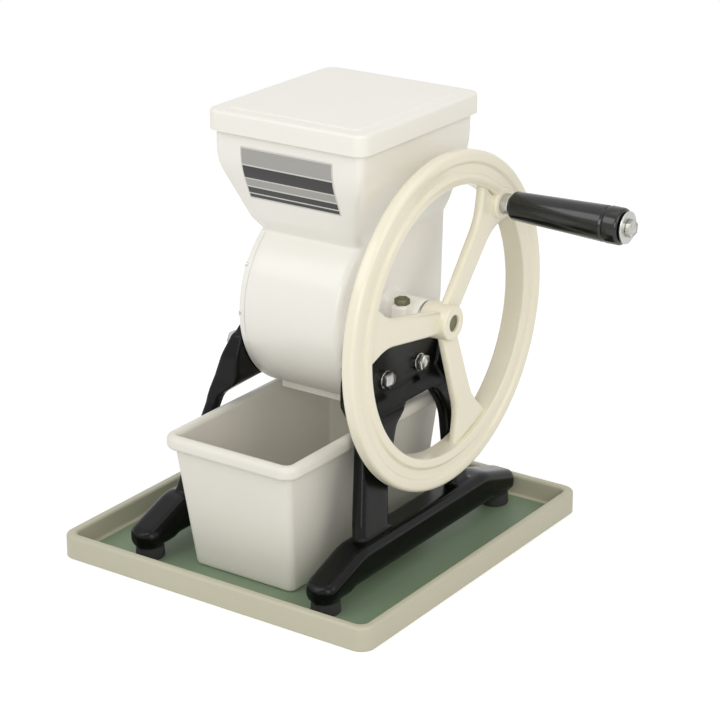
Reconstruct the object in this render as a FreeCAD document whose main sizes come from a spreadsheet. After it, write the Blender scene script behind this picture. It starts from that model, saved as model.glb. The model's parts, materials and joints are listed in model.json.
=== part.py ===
"""Hand cranked ice shaver on a serving tray: a hopper and drum casing on two splayed side frames,
a bladed rotor on a through shaft, a spoked flywheel with a turning grip, a lift-off lid and a catch
container. Millimetres, +Z up, +X towards the flywheel, -Y towards the container's front.
The origin is the middle of the tray's underside."""
import FreeCAD, Part
import math
import os
import re
import Sketcher

os.makedirs("parts", exist_ok=True)
doc = FreeCAD.newDocument("ice_shaver")
sheet = doc.addObject("Spreadsheet::Sheet", "sizes")

# Driving dimensions, one row each: alias, value in millimetres or degrees
SIZES = {
    "tray_width": 300,
    "tray_depth": 317,
    "tray_height": 20,
    "tray_floor": 3,
    "tray_rim": 8,
    "tray_corner": 12,
    "tray_inner_corner": 7,
    "tray_lip_round": 2.5,

    "axis_y": 26.9,
    "axis_z": 198.2,
    "drum_radius": 76.6,
    "drum_half": 47.4,
    "drum_edge": 4,
    "chamber_radius": 69,
    "end_wall": 6,
    "cover_gap": 0.4,
    "cover_screw_radius": 2,
    "cover_screw_head": 4,
    "cover_screw_high": 2.6,
    "cover_screw_length": 14,
    "cover_screw_out": 0,
    "ring_radius": 72.8,
    "cover_top_y": 102.5,
    "cover_top_z": 236,

    "neck_front": 19.5,
    "neck_z": 261,
    "neck_blend_z": 271.5,
    "neck_blend_front": 28,
    "neck_blend_half": 52.5,
    "hopper_front": 48.4,
    "hopper_rear": 109.6,
    "hopper_half": 69.6,
    "hopper_full_rise": 48.5,
    "hopper_top": 359.2,
    "hopper_wall": 4,
    "hopper_corner": 5,
    "hopper_bend": 60,
    "throat_half": 38,
    "throat_front": 12.5,

    "lid_overhang": 5,
    "lid_skirt": 13.4,
    "lid_thick": 3,
    "lid_wall": 2.5,
    "lid_corner": 10,
    "lid_panel_inset": 13,
    "lid_panel_rise": 0.8,

    "plate_half": 44,
    "plate_drop": 23.2,
    "plate_high": 45,
    "plate_thick": 0.5,

    "boss_radius": 14.5,
    "boss_right_end": 80,
    "boss_left_end": 58,
    "bush_outer": 11,
    "shaft_radius": 8,
    "run_gap": 0.05,
    "lug_half": 7,
    "lug_mid_x": 67,
    "lug_front": 14.5,
    "lug_width": 13,
    "lug_rise": 12.8,
    "pinch_radius": 3,
    "pinch_flats": 11,
    "pinch_head": 5,
    "pinch_length": 26,

    "rotor_hub": 19,
    "rotor_gap": 1.5,
    "rotor_side_gap": 0.8,
    "vane_thick": 7,
    "vane_round": 2,
    "pin_radius": 2.5,

    "slot_half": 37,
    "slot_front": 22,
    "slot_rear": 35,
    "seat_front": -3,
    "seat_rear": 40,
    "seat_bottom": 122.6,
    "seat_half": 40.5,
    "blade_edge_y": 27,
    "blade_proud": 0.2,
    "blade_tilt": 8,
    "blade_thick": 2,
    "blade_width": 26,
    "blade_side_gap": 0.4,
    "blade_bevel": 4,
    "clamp_thick": 3,
    "clamp_width": 17,
    "clamp_setback": 8,
    "blade_screw_radius": 2.5,
    "blade_screw_head": 4.5,
    "blade_screw_pitch": 26,
    "blade_screw_setback": 17,
    "blade_screw_length": 8.4,

    "frame_bolt_half": 24.5,
    "frame_bolt_z": 148,
    "frame_front_bolt": 64.6,
    "frame_rear_bolt": 53,
    "frame_side_bolt_z": 169.3,
    "bolt_radius": 4,
    "bolt_flats": 13,
    "bolt_head": 5.3,
    "bolt_bite": 4.5,
    "washer_radius": 7.5,
    "washer_thick": 1.5,

    "frame_top": 183,
    "frame_plate": 10.6,
    "frame_shoulder_z": 138.5,
    "frame_shoulder_drop": 14,
    "frame_shoulder_in": 66,
    "frame_shoulder_out": 77,
    "frame_crease": 3,
    "frame_round": 4,
    "frame_inset": 3,
    "frame_skirt": 8,
    "frame_nose": 36,
    "frame_cheek": 46,
    "leg_bulge": 61,
    "leg_bulge_z": 158,
    "leg_widest": 64,
    "leg_widest_z": 146,
    "leg_knee": 60.5,
    "leg_knee_z": 121,
    "leg_shin": 84.5,
    "leg_shin_z": 58,
    "leg_toe": 92,
    "leg_bend": 40,
    "frame_rear": 90,
    "frame_rear_drop": 10,
    "rear_leg_knee": 80,
    "rear_leg_knee_z": 115,
    "rear_leg_foot": 76,
    "beam_in": 73,
    "beam_width": 28,
    "beam_top": 45,
    "beam_bottom": 13,
    "beam_arch": 3,
    "beam_arch_front": 102,
    "beam_arch_rear": 108,
    "beam_nose": 25,
    "beam_nose_run": 50,
    "beam_front_over": 14,
    "beam_rear_over": 16,
    "beam_round": 7,
    "beam_bend": 30,
    "arch_right_foot": -47,
    "arch_right_mid": -36,
    "arch_right_top": -8.5,
    "arch_left_foot": -70,
    "arch_left_mid": -61,
    "arch_left_top": -44,
    "arch_mid_z": 78,
    "arch_top_z": 119,
    "arch_crown_z": 129,
    "arch_crown_front": 8,
    "arch_crown_rear": 44,
    "arch_rear": 60,
    "arch_rear_z": 107,
    "arch_rear_foot": 52,
    "foot_radius": 12,
    "foot_front_clear": 17.5,
    "foot_rear_clear": 12.5,
    "foot_peg": 4,
    "foot_peg_high": 5,

    "wheel_radius": 137,
    "rim_depth": 27,
    "wheel_front": 105,
    "wheel_back_inner": 86,
    "wheel_back_outer": 94.5,
    "bead_rise": 2.6,
    "bead_width": 7,
    "spoke_width": 24,
    "spoke_back": 93,
    "spoke_front": 101,
    "spoke_round": 4,
    "spoke_root": 18,
    "hub_radius": 14.5,
    "hub_back": 82,
    "hub_front": 107,
    "hub_recess": 6.8,
    "hub_web_back": 97,
    "hub_recess_floor": 100,
    "hub_screw_radius": 4,
    "hub_screw_head": 6.3,
    "hub_screw_high": 5,
    "hub_screw_length": 17,
    "hub_screw_clear": 0.2,
    "shaft_end_gap": 0.5,
    "end_flange_radius": 11.5,
    "end_flange_thick": 3,
    "end_gap": 0.6,
    "end_screw_length": 14,
    "end_screw_bore": 16,
    "key_width": 5,
    "key_depth": 2.5,
    "key_length": 14,
    "thrust_thick": 1.6,

    "grip_inset": 28,
    "grip_angle": 46.3,
    "spoke_turn": 50,
    "grip_boss": 13,
    "grip_boss_back": 90.5,
    "spindle_radius": 4,
    "spindle_root": 12,
    "collar_radius": 8.6,
    "collar_long": 7,
    "grip_gap": 1.6,
    "grip_length": 100,
    "grip_small": 11.6,
    "grip_large": 15,
    "grip_end_round": 3,
    "grip_groove": 14,
    "grip_bore_gap": 0.08,
    "ferrule_radius": 13,
    "ferrule_thick": 1.6,
    "nut_flats": 13,
    "nut_high": 5,

    "container_bottom_half": 48.5,
    "container_bottom_front": 112,
    "container_bottom_rear": 74,
    "container_draft": 8,
    "container_front_draft": 14,
    "container_corner": 11,
    "container_wall": 2.6,
    "container_floor": 3,
    "container_rim_z": 107,
    "container_rim_high": 11.5,
    "container_rim_out": 7.2,
    "container_rim_corner": 14,
    "container_rim_round": 4.4,
}

for row, (alias, number) in enumerate(SIZES.items(), 1):
    sheet.set("A%d" % row, alias)
    sheet.set("B%d" % row, str(number))
    sheet.setAlias("B%d" % row, alias)
doc.recompute()

NAME = re.compile(r"(?<![\w.])[a-z]\w*(?!\w*\()")
FUNCTIONS = {"sin", "cos", "tan", "sqrt", "pow", "min"}


def full(text):
    """An expression over the sheet's aliases, spelled as the document wants it."""
    return NAME.sub(lambda m: m.group(0) if m.group(0) in FUNCTIONS else "sizes." + m.group(0), text)


def val(text):
    """The number that an expression over the sheet's aliases has now."""
    return float(sheet.evalExpression(full(text)))


def bind(thing, **texts):
    """Ties properties of an object to expressions; a double underscore stands for a dot."""
    for name, text in texts.items():
        thing.setExpression(name.replace("__", "."), full(text))
    return thing


def new_body(label):
    """An empty body whose label names its file."""
    made = doc.addObject("PartDesign::Body", label)
    made.Label = label
    return made


def new_sketch(owner, role, offset="0"):
    """A sketch on one of the body's own origin planes, moved along the plane's normal."""
    drawn = owner.newObject("Sketcher::SketchObject", owner.Name + "_sketch")
    plane = [f for f in owner.Origin.OriginFeatures if f.Role == role][0]
    drawn.AttachmentSupport = [(plane, "")]
    drawn.MapMode = "FlatFace"
    bind(drawn, AttachmentOffset__Base__z=offset)
    return drawn


def pin_point(drawn, geometry, end, across, up):
    """Holds one point of a sketch at two expressions from the sketch's origin."""
    for kind, text in (("DistanceX", across), ("DistanceY", up)):
        held = drawn.addConstraint(Sketcher.Constraint(kind, -1, 1, geometry, end, val(text)))
        drawn.setExpression("Constraints[%d]" % held, full(text))


def outline(owner, role, corners, offset="0"):
    """A closed outline through corners (across, up) or (across, up, rounding radius)."""
    drawn = new_sketch(owner, role, offset)
    spots = [FreeCAD.Vector(val(c[0]), val(c[1]), 0) for c in corners]
    count = len(corners)
    for i in range(count):
        drawn.addGeometry(Part.LineSegment(spots[i], spots[(i + 1) % count]), False)
    for i in range(count):
        drawn.addConstraint(Sketcher.Constraint("Coincident", i, 2, (i + 1) % count, 1))
    for i in range(count):
        pin_point(drawn, i, 1, corners[i][0], corners[i][1])
    doc.recompute()
    for i in range(count):
        if len(corners[i]) == 3:
            drawn.fillet(i, 1, val(corners[i][2]), True, True)
            arc = max(k for k, g in enumerate(drawn.Geometry) if isinstance(g, Part.ArcOfCircle))
            held = drawn.addConstraint(Sketcher.Constraint("Radius", arc, val(corners[i][2])))
            drawn.setExpression("Constraints[%d]" % held, full(corners[i][2]))
    return drawn


def circles(owner, role, rounds, offset="0"):
    """A sketch of full circles, each (across, up, radius)."""
    drawn = new_sketch(owner, role, offset)
    for across, up, radius in rounds:
        middle = FreeCAD.Vector(val(across), val(up), 0)
        at = drawn.addGeometry(Part.Circle(middle, FreeCAD.Vector(0, 0, 1), val(radius)), False)
        pin_point(drawn, at, 3, across, up)
        held = drawn.addConstraint(Sketcher.Constraint("Radius", at, val(radius)))
        drawn.setExpression("Constraints[%d]" % held, full(radius))
    return drawn


def box_corners(left, right, low, high, *rounding):
    """The four corners of a rectangle, each with the same rounding where one is given."""
    return [(left, low) + rounding, (right, low) + rounding, (right, high) + rounding,
            (left, high) + rounding]


def extrude(owner, drawn, length, middle=False, back=False, cut=False):
    """A pad, or a pocket, of a sketch."""
    made = owner.newObject("PartDesign::Pocket" if cut else "PartDesign::Pad", owner.Name + "_ext")
    made.Profile = drawn
    made.Midplane = middle
    made.Reversed = back
    bind(made, Length=length)
    doc.recompute()
    return made


def cut_away(owner, drawn, length, middle=False, back=False):
    """A pocket that is checked to take material away."""
    before = owner.Shape.Volume
    made = extrude(owner, drawn, length, middle, back, True)
    if not owner.Shape.Volume < before - 1e-6:
        raise RuntimeError("a pocket in %s cuts nothing" % owner.Label)
    return made


def turned(owner, role, corners, axis="H_Axis", offset="0"):
    """A solid of revolution of an outline about a sketch axis."""
    drawn = outline(owner, role, corners, offset)
    made = owner.newObject("PartDesign::Revolution", owner.Name + "_turned")
    made.Profile = drawn
    made.ReferenceAxis = (drawn, [axis])
    made.Angle = 360
    doc.recompute()
    return made


def lofted(owner, low, high, inside=False):
    """A loft between two sketches, as a wall or as the hollow in it."""
    kind = "PartDesign::SubtractiveLoft" if inside else "PartDesign::AdditiveLoft"
    made = owner.newObject(kind, owner.Name + "_loft")
    made.Profile = low
    made.Sections = [high]
    made.Ruled = True
    doc.recompute()
    return made


def rounded(owner, radius, wanted, kind="PartDesign::Fillet"):
    """Rounds or chamfers the edges of a body that a test on the edge picks out."""
    base = owner.Tip
    names = ["Edge%d" % (i + 1) for i, e in enumerate(base.Shape.Edges) if wanted(e)]
    if not names:
        raise RuntimeError("no edge to round on %s" % owner.Label)
    made = owner.newObject(kind, owner.Name + "_round")
    made.Base = (base, names)
    bind(made, **{"Radius" if kind.endswith("Fillet") else "Size": radius})
    doc.recompute()
    return made


def joined(kind, label, *members):
    """A boolean of finished shapes: Cut, Fuse or Common."""
    made = doc.addObject("Part::" + kind, label)
    made.Base = members[0]
    made.Tool = members[1]
    made.Refine = True
    made.Label = label
    doc.recompute()
    return made


def placed(thing, x="0", y="0", z="0", axis=None, angle="0"):
    """Moves an object to expressions, turned about an axis."""
    if axis:
        thing.Placement = FreeCAD.Placement(FreeCAD.Vector(), FreeCAD.Rotation(FreeCAD.Vector(*axis), 1))
        bind(thing, Placement__Rotation__Angle=angle)
    bind(thing, Placement__Base__x=x, Placement__Base__y=y, Placement__Base__z=z)
    doc.recompute()
    return thing


def group(label, pattern, spots):
    """Several copies of one finished shape as one node, at (x, y, z, axis, angle) each."""
    links = []
    for spot in spots:
        copy = doc.addObject("App::Link", label + "_copy")
        copy.LinkedObject = pattern
        links.append(placed(copy, *spot))
    made = doc.addObject("Part::Compound", label)
    made.Links = links
    made.Label = label
    doc.recompute()
    return made


def middle_of(edge):
    """The point halfway along an edge."""
    return edge.valueAt((edge.FirstParameter + edge.LastParameter) / 2)


def near(a, text):
    """Whether a coordinate is at the place that an expression gives."""
    return abs(a - val(text)) < 1e-4


NODES = []


def keep(thing):
    """Marks a finished sub-part for export."""
    NODES.append(thing)
    return thing


# Tray: a moulded tray with a broad turned rim
tray = new_body("tray")
extrude(tray, outline(tray, "XY_Plane", box_corners("-tray_width/2", "tray_width/2", "-tray_depth/2",
        "tray_depth/2", "tray_corner")), "tray_height")
cut_away(tray, outline(tray, "XY_Plane", box_corners("-tray_width/2 + tray_rim", "tray_width/2 - tray_rim",
         "-tray_depth/2 + tray_rim", "tray_depth/2 - tray_rim", "tray_inner_corner"), "tray_floor"),
         "tray_height", back=True)
rounded(tray, "tray_lip_round", lambda e: near(e.BoundBox.ZMin, "tray_height"))
keep(tray)

# Container: a tapered tub with a rolled rim, standing on the tray's floor
def tub_outline(owner, spread, front_spread, corner, height):
    """One level of the container: its outline grown by a side and a fore-and-aft amount."""
    half = "container_bottom_half + (%s)" % spread
    return outline(owner, "XY_Plane", box_corners("-(%s)" % half, half,
                   "-container_bottom_front - (%s)" % front_spread,
                   "container_bottom_rear + (%s)" % front_spread, corner), height)


container = new_body("container")
RIM_TOP = "container_rim_z + container_rim_high"
lofted(container, tub_outline(container, "0", "0", "container_corner", "tray_floor"),
       tub_outline(container, "container_draft", "container_front_draft", "container_corner", "container_rim_z"))
extrude(container, tub_outline(container, "container_draft + container_rim_out",
        "container_front_draft + container_rim_out", "container_rim_corner", "container_rim_z"),
        "container_rim_high")
lofted(container, tub_outline(container, "-container_wall", "-container_wall", "container_corner - container_wall",
       "tray_floor + container_floor"),
       tub_outline(container, "container_draft", "container_front_draft",
                   "container_corner", RIM_TOP + " + 0.01"), inside=True)
rounded(container, "container_rim_round", lambda e: near(e.BoundBox.ZMin, RIM_TOP)
        and e.BoundBox.ZLength < 0.01 and abs(middle_of(e).x) + 0.01 > 0 and
        (abs(e.BoundBox.XMax) > val("container_bottom_half + container_draft + 1")
         or abs(e.BoundBox.XMin) > val("container_bottom_half + container_draft + 1")
         or e.BoundBox.YMin < -val("container_bottom_front + container_front_draft + 1")
         or e.BoundBox.YMax > val("container_bottom_rear + container_front_draft + 1")))
keep(container)

# Casing: drum and hopper in one casting, as a side profile cut to a flared front profile
HOPPER_BEND = "min(hopper_bend; 3*(hopper_top - neck_blend_z - hopper_full_rise))"


def side_profile(owner, width, inset, top, wall):
    """The drum circle with the hopper's front and rear walls, as one block across."""
    front = [("-neck_front + (%s)" % inset, "axis_z"),
             ("-neck_front + (%s)" % inset, "neck_z"),
             ("-neck_blend_front + (%s)" % inset, "neck_blend_z", "neck_blend_front"),
             ("-hopper_front + (%s)" % wall, "neck_blend_z + hopper_full_rise", HOPPER_BEND),
             ("-hopper_front + (%s)" % wall, top),
             ("hopper_rear - (%s)" % wall, top),
             ("axis_y + drum_radius - (%s)" % inset, "axis_z")]
    return extrude(owner, outline(owner, "YZ_Plane", front), width, middle=True)


def flare(owner, neck, blend, half):
    """Cuts both sides of a block back to the hopper's flared outline, seen from the front."""
    for side in ("", "-"):
        corners = [(side + "(%s)" % neck, "0"), (side + "(%s)" % neck, "neck_z"),
                   (side + "(%s)" % blend, "neck_blend_z", "neck_blend_front"),
                   (side + "(%s)" % half, "neck_blend_z + hopper_full_rise", HOPPER_BEND),
                   (side + "(%s)" % half, "2*hopper_top"), (side + "3*hopper_half", "2*hopper_top"),
                   (side + "3*hopper_half", "0")]
        cut_away(owner, outline(owner, "XZ_Plane", corners), "2*tray_depth", middle=True)


shell = new_body("casing_outside")
side_profile(shell, "4*hopper_half", "0", "hopper_top", "0")
extrude(shell, circles(shell, "YZ_Plane", [("axis_y", "axis_z", "drum_radius")]), "2*drum_half", middle=True)
flare(shell, "drum_half", "neck_blend_half", "hopper_half")
hollow = new_body("casing_inside")
side_profile(hollow, "4*hopper_half", "neck_front - throat_front", "hopper_top + 1", "hopper_wall")
flare(hollow, "throat_half", "throat_half + neck_blend_half - drum_half", "hopper_half - hopper_wall")


def rod(label, radius, length, x, y, z, axis=None, angle="0"):
    """A plain round bar, along +Z unless it is turned."""
    made = doc.addObject("Part::Cylinder", label)
    bind(made, Radius=radius, Height=length)
    return placed(made, x, y, z, axis, angle)


def block(label, long, wide, high, x, y, z, axis=None, angle="0"):
    """A plain block from its least corner."""
    made = doc.addObject("Part::Box", label)
    bind(made, Length=long, Width=wide, Height=high)
    return placed(made, x, y, z, axis, angle)


def several(label, *members):
    """Several shapes together, as one tool."""
    made = doc.addObject("Part::Compound", label)
    made.Links = list(members)
    doc.recompute()
    return made


ACROSS = (0, 1, 0)
FORE = (1, 0, 0)
CHAMBER_HALF = "drum_half - end_wall"

# The left end face opens below the neck, where the end cover closes the chamber
chamber = rod("chamber", "chamber_radius", "2*(%s) + end_wall + 1" % CHAMBER_HALF,
              "-drum_half - 1", "axis_y", "axis_z", ACROSS, "90")
step = block("cover_step", "end_wall + 1", "2*tray_depth", "neck_z + cover_gap", "-drum_half - 1",
             "-tray_depth", "0")
slot = block("slot", "2*slot_half", "slot_rear - slot_front", "drum_radius", "-slot_half",
             "slot_front", "axis_z - drum_radius - 10")
seat_cut = block("seat_cut", "2*slot_half + 2*blade_side_gap + 2", "blade_width + 20", "20",
                 "-slot_half - blade_side_gap - 1", "blade_edge_y - (blade_width + 16)*cos(blade_tilt)"
                 " + 20*sin(blade_tilt)", "axis_z - chamber_radius + blade_proud"
                 " - (blade_width + 16)*sin(blade_tilt) - 20*cos(blade_tilt)", FORE, "blade_tilt")
seat = block("seat", "2*seat_half", "seat_rear - seat_front", "axis_z - chamber_radius + 6 - seat_bottom",
             "-seat_half", "seat_front", "seat_bottom")
boss = rod("boss", "boss_radius", "boss_right_end - drum_half + 1", "drum_half - 1", "axis_y", "axis_z",
           ACROSS, "90")
lug = block("lug", "2*lug_half", "lug_width", "2*lug_rise", "lug_mid_x - lug_half",
            "axis_y - lug_front - lug_width/2", "axis_z - lug_rise")
bush_hole = rod("bush_hole", "bush_outer", "boss_right_end - drum_half + end_wall + 2",
                "drum_half - end_wall - 1", "axis_y", "axis_z", ACROSS, "90")
pinch_hole = rod("pinch_hole", "pinch_radius", "2*lug_rise + 2", "lug_mid_x", "axis_y - lug_front",
                 "axis_z - lug_rise - 1")

FRAME_BOLTS = [("axis_y - frame_front_bolt", "frame_side_bolt_z"), ("axis_y - frame_bolt_half", "frame_bolt_z"),
               ("axis_y + frame_bolt_half", "frame_bolt_z"), ("axis_y + frame_rear_bolt", "frame_side_bolt_z")]
COVER_SCREWS = [("axis_y - ring_radius", "axis_z"), ("axis_y + ring_radius", "axis_z"),
                ("axis_y - ring_radius*cos(30)", "axis_z + ring_radius*sin(30)"), ("cover_top_y", "cover_top_z")]
BLADE_SCREWS = ["-blade_screw_pitch", "0", "blade_screw_pitch"]
EDGE_Z = "axis_z - chamber_radius + blade_proud"


def row_of_rods(label, radius, length, x, spots):
    """Round bars along +X at several (y, z)."""
    return [rod(label, radius, length, x, y, z, ACROSS, "90") for y, z in spots]


def blade_rods(label, radius, length, start):
    """Round bars square to the blade, from a depth below its upper face."""
    made = []
    for x in BLADE_SCREWS:
        made.append(rod(label, radius, length, x,
                        "blade_edge_y - blade_screw_setback*cos(blade_tilt) + (%s)*sin(blade_tilt)" % start,
                        EDGE_Z + " - blade_screw_setback*sin(blade_tilt) - (%s)*cos(blade_tilt)" % start,
                        FORE, "blade_tilt"))
    return made


SCREW_REACH = "blade_screw_length"
STACK = "blade_thick + clamp_thick"
solid_shell = joined("Fuse", "shell_seat", shell, seat)
solid_shell = joined("Fuse", "shell_boss", solid_shell, boss)
solid_shell = joined("Fuse", "shell_lug", solid_shell, lug)
casing_cuts = several("casing_cuts", hollow, chamber, step, slot, seat_cut, bush_hole, pinch_hole,
                      *row_of_rods("frame_hole", "bolt_radius", "bolt_bite + 1", "drum_half - bolt_bite",
                                   FRAME_BOLTS),
                      *row_of_rods("cover_hole", "cover_screw_radius", "cover_screw_length - end_wall + 2",
                                   "-drum_half + end_wall - 1", COVER_SCREWS),
                      *blade_rods("seat_hole", "blade_screw_radius",
                                  "blade_screw_length - blade_thick - clamp_thick + 1", "1"))
casing = keep(joined("Cut", "casing", solid_shell, casing_cuts))

# End cover: the left end wall with its own bearing boss
cover_plate = joined("Common", "cover_plate", shell,
                     block("cover_block", "end_wall", "2*tray_depth", "neck_z", "-drum_half", "-tray_depth", "0"))
cover_solid = joined("Fuse", "cover_solid", cover_plate,
                     rod("cover_boss", "boss_radius", "boss_left_end - drum_half + 1", "-boss_left_end",
                         "axis_y", "axis_z", ACROSS, "90"))
keep(joined("Cut", "end_cover", cover_solid, several(
    "cover_cuts",
    rod("cover_bush_hole", "bush_outer", "boss_left_end", "-boss_left_end - 1", "axis_y", "axis_z", ACROSS, "90"),
    *row_of_rods("cover_bolt_hole", "bolt_radius", "bolt_bite + 1", "-drum_half - 1", FRAME_BOLTS),
    *row_of_rods("cover_screw_hole", "cover_screw_radius", "end_wall + 2", "-drum_half - 1", COVER_SCREWS),
    *row_of_rods("cover_head_hole", "cover_screw_head", "cover_screw_high - cover_screw_out + 1",
                 "-drum_half - 1", COVER_SCREWS))))


def ring(label, inner, outer, length, x, y="axis_y", z="axis_z"):
    """A plain ring about an axis along +X."""
    made = new_body(label)
    extrude(made, circles(made, "YZ_Plane", [("0", "0", outer), ("0", "0", inner)]), length)
    return placed(made, x, y, z)


def screw(label, head, high, radius, length, flats=True):
    """A screw along +Z: its head below the origin, its shank above."""
    made = new_body(label)
    if flats:
        side = "(%s)/cos(30)/2" % head
        points = [(side + "*cos(%d)" % (60 * k), side + "*sin(%d)" % (60 * k)) for k in range(6)]
        extrude(made, outline(made, "XY_Plane", points), high, back=True)
    else:
        extrude(made, circles(made, "XY_Plane", [("0", "0", head)]), high, back=True)
    extrude(made, circles(made, "XY_Plane", [("0", "0", radius)]), length)
    return made


keep(ring("bush_right", "shaft_radius + run_gap", "bush_outer", "boss_right_end - drum_half + end_wall",
          "drum_half - end_wall"))
keep(ring("bush_left", "shaft_radius + run_gap", "bush_outer", "boss_left_end - drum_half + end_wall",
          "-boss_left_end"))
pinch = screw("pinch_bolt", "pinch_flats", "pinch_head", "pinch_radius", "pinch_length")
keep(placed(pinch, "lug_mid_x", "axis_y - lug_front", "axis_z + lug_rise", FORE, "180"))
cover_screw = screw("cover_screw_one", "cover_screw_head", "cover_screw_high", "cover_screw_radius",
                    "cover_screw_length - cover_screw_high", flats=False)
keep(group("cover_screws", cover_screw, [("-drum_half + cover_screw_high - cover_screw_out", y, z, ACROSS, "90")
                                         for y, z in COVER_SCREWS]))

# Blade: a bevelled strip clamped under the drum so that its edge stands just proud in the slot
blade = new_body("blade_uncut")
extrude(blade, outline(blade, "YZ_Plane", [("0", "0"), ("-blade_width", "0"), ("-blade_width", "-blade_thick"),
        ("-blade_bevel", "-blade_thick")]), "2*slot_half", middle=True)
placed(blade, "0", "blade_edge_y", EDGE_Z, FORE, "blade_tilt")
keep(joined("Cut", "blade", blade, several("blade_holes", *blade_rods(
    "blade_hole", "blade_screw_radius", "blade_thick + 2", "blade_thick + 1"))))
clamp = new_body("clamp_uncut")
extrude(clamp, outline(clamp, "YZ_Plane", box_corners("-clamp_setback - clamp_width", "-clamp_setback",
        "-blade_thick - clamp_thick", "-blade_thick")), "2*slot_half", middle=True)
placed(clamp, "0", "blade_edge_y", EDGE_Z, FORE, "blade_tilt")
keep(joined("Cut", "blade_clamp", clamp, several("clamp_holes",
     *blade_rods("clamp_hole", "blade_screw_radius", STACK + " + 2", STACK + " + 1"),
     *blade_rods("clamp_head_hole", "blade_screw_head", "2.2 + 1", STACK + " + 1"))))
blade_screw = screw("blade_screw_one", "blade_screw_head", "2.2", "blade_screw_radius",
                    "blade_screw_length - 2.2", flats=False)
DROP = "(blade_thick + clamp_thick - 2.2)"
keep(group("blade_screws", blade_screw, [
    (x, "blade_edge_y - blade_screw_setback*cos(blade_tilt) + %s*sin(blade_tilt)" % DROP,
     EDGE_Z + " - blade_screw_setback*sin(blade_tilt) - %s*cos(blade_tilt)" % DROP, FORE, "blade_tilt")
    for x in BLADE_SCREWS]))

# Nameplate: a thin sheet lying on the hopper's curved front
plate_skin = new_body("plate_skin")
side_profile(plate_skin, "2*plate_half", "-plate_thick", "hopper_top", "-plate_thick")
plate_band = joined("Common", "plate_band", plate_skin, block(
    "plate_block", "2*plate_half", "hopper_front + plate_thick", "plate_high", "-plate_half",
    "-hopper_front - plate_thick", "hopper_top - plate_drop - plate_high"))
keep(joined("Cut", "nameplate", plate_band, shell))

# Lid: a shallow cap resting on the hopper's rim
lid = new_body("lid")
LID = ["-hopper_half - lid_overhang", "hopper_half + lid_overhang", "-hopper_front - lid_overhang",
       "hopper_rear + lid_overhang"]
LID_IN = ["%s + lid_wall" % LID[0], "%s - lid_wall" % LID[1], "%s + lid_wall" % LID[2], "%s - lid_wall" % LID[3]]
PANEL = ["%s + lid_panel_inset" % LID[0], "%s - lid_panel_inset" % LID[1], "%s + lid_panel_inset" % LID[2],
         "%s - lid_panel_inset" % LID[3]]
extrude(lid, outline(lid, "XY_Plane", box_corners(*LID, "lid_corner"), "hopper_top - lid_skirt"),
        "lid_skirt + lid_thick")
cut_away(lid, outline(lid, "XY_Plane", box_corners(*LID_IN, "lid_corner - lid_wall"), "hopper_top"),
         "lid_skirt + 1")
extrude(lid, outline(lid, "XY_Plane", box_corners(*PANEL, "lid_corner"), "hopper_top + lid_thick"),
        "lid_panel_rise")
keep(lid)

# Rotor: four straight vanes on a hub, pinned to the through shaft
rotor_body = new_body("rotor")
VANE = "chamber_radius - rotor_gap"
ROTOR_HALF = "drum_half - end_wall - rotor_side_gap"
extrude(rotor_body, circles(rotor_body, "YZ_Plane", [("0", "0", "rotor_hub")]), "2*(%s)" % ROTOR_HALF, middle=True)
for role_corners in (box_corners("-(%s)" % VANE, VANE, "-vane_thick/2", "vane_thick/2", "vane_round"),
                     box_corners("-vane_thick/2", "vane_thick/2", "-(%s)" % VANE, VANE, "vane_round")):
    extrude(rotor_body, outline(rotor_body, "YZ_Plane", role_corners), "2*(%s)" % ROTOR_HALF, middle=True)
cut_away(rotor_body, circles(rotor_body, "YZ_Plane", [("0", "0", "shaft_radius + run_gap")]),
         "2*drum_half", middle=True)
cut_away(rotor_body, circles(rotor_body, "XZ_Plane", [("0", "0", "pin_radius")]), "2*drum_radius + 2", middle=True)
placed(rotor_body, "0", "axis_y", "axis_z")
keep(rotor_body)
pin = new_body("rotor_pin")
extrude(pin, circles(pin, "XZ_Plane", [("0", "0", "pin_radius")]), "2*rotor_hub - 2", middle=True)
keep(placed(pin, "0", "axis_y", "axis_z"))

# Drive shaft: plain bar with a keyway, a pin hole and a tapped hole in each end
shaft = new_body("drive_shaft")
SHAFT_LEFT = "-boss_left_end - end_gap"
SHAFT_RIGHT = "hub_web_back - shaft_end_gap"
turned(shaft, "XZ_Plane", [
    (SHAFT_LEFT, "hub_screw_radius"), (SHAFT_LEFT, "shaft_radius"), (SHAFT_RIGHT, "shaft_radius"),
    (SHAFT_RIGHT, "hub_screw_radius"), (SHAFT_RIGHT + " - end_screw_bore", "hub_screw_radius"),
    (SHAFT_RIGHT + " - end_screw_bore", "0"), (SHAFT_LEFT + " + end_screw_bore", "0"),
    (SHAFT_LEFT + " + end_screw_bore", "hub_screw_radius")])
cut_away(shaft, circles(shaft, "XZ_Plane", [("0", "0", "pin_radius")]), "4*shaft_radius", middle=True)
cut_away(shaft, outline(shaft, "YZ_Plane", box_corners("-key_width/2", "key_width/2", "shaft_radius - key_depth",
         "2*shaft_radius"), "hub_back"), "key_length", back=True)
keep(placed(shaft, "0", "axis_y", "axis_z"))
wheel_key = new_body("wheel_key")
extrude(wheel_key, outline(wheel_key, "YZ_Plane", box_corners("-key_width/2", "key_width/2",
        "shaft_radius - key_depth", "shaft_radius + key_depth"), "hub_back"), "key_length")
keep(placed(wheel_key, "0", "axis_y", "axis_z"))
end_screw = screw("end_screw", "end_flange_radius", "end_flange_thick", "hub_screw_radius", "end_screw_length",
                  flats=False)
keep(placed(end_screw, SHAFT_LEFT, "axis_y", "axis_z", ACROSS, "90"))

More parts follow.
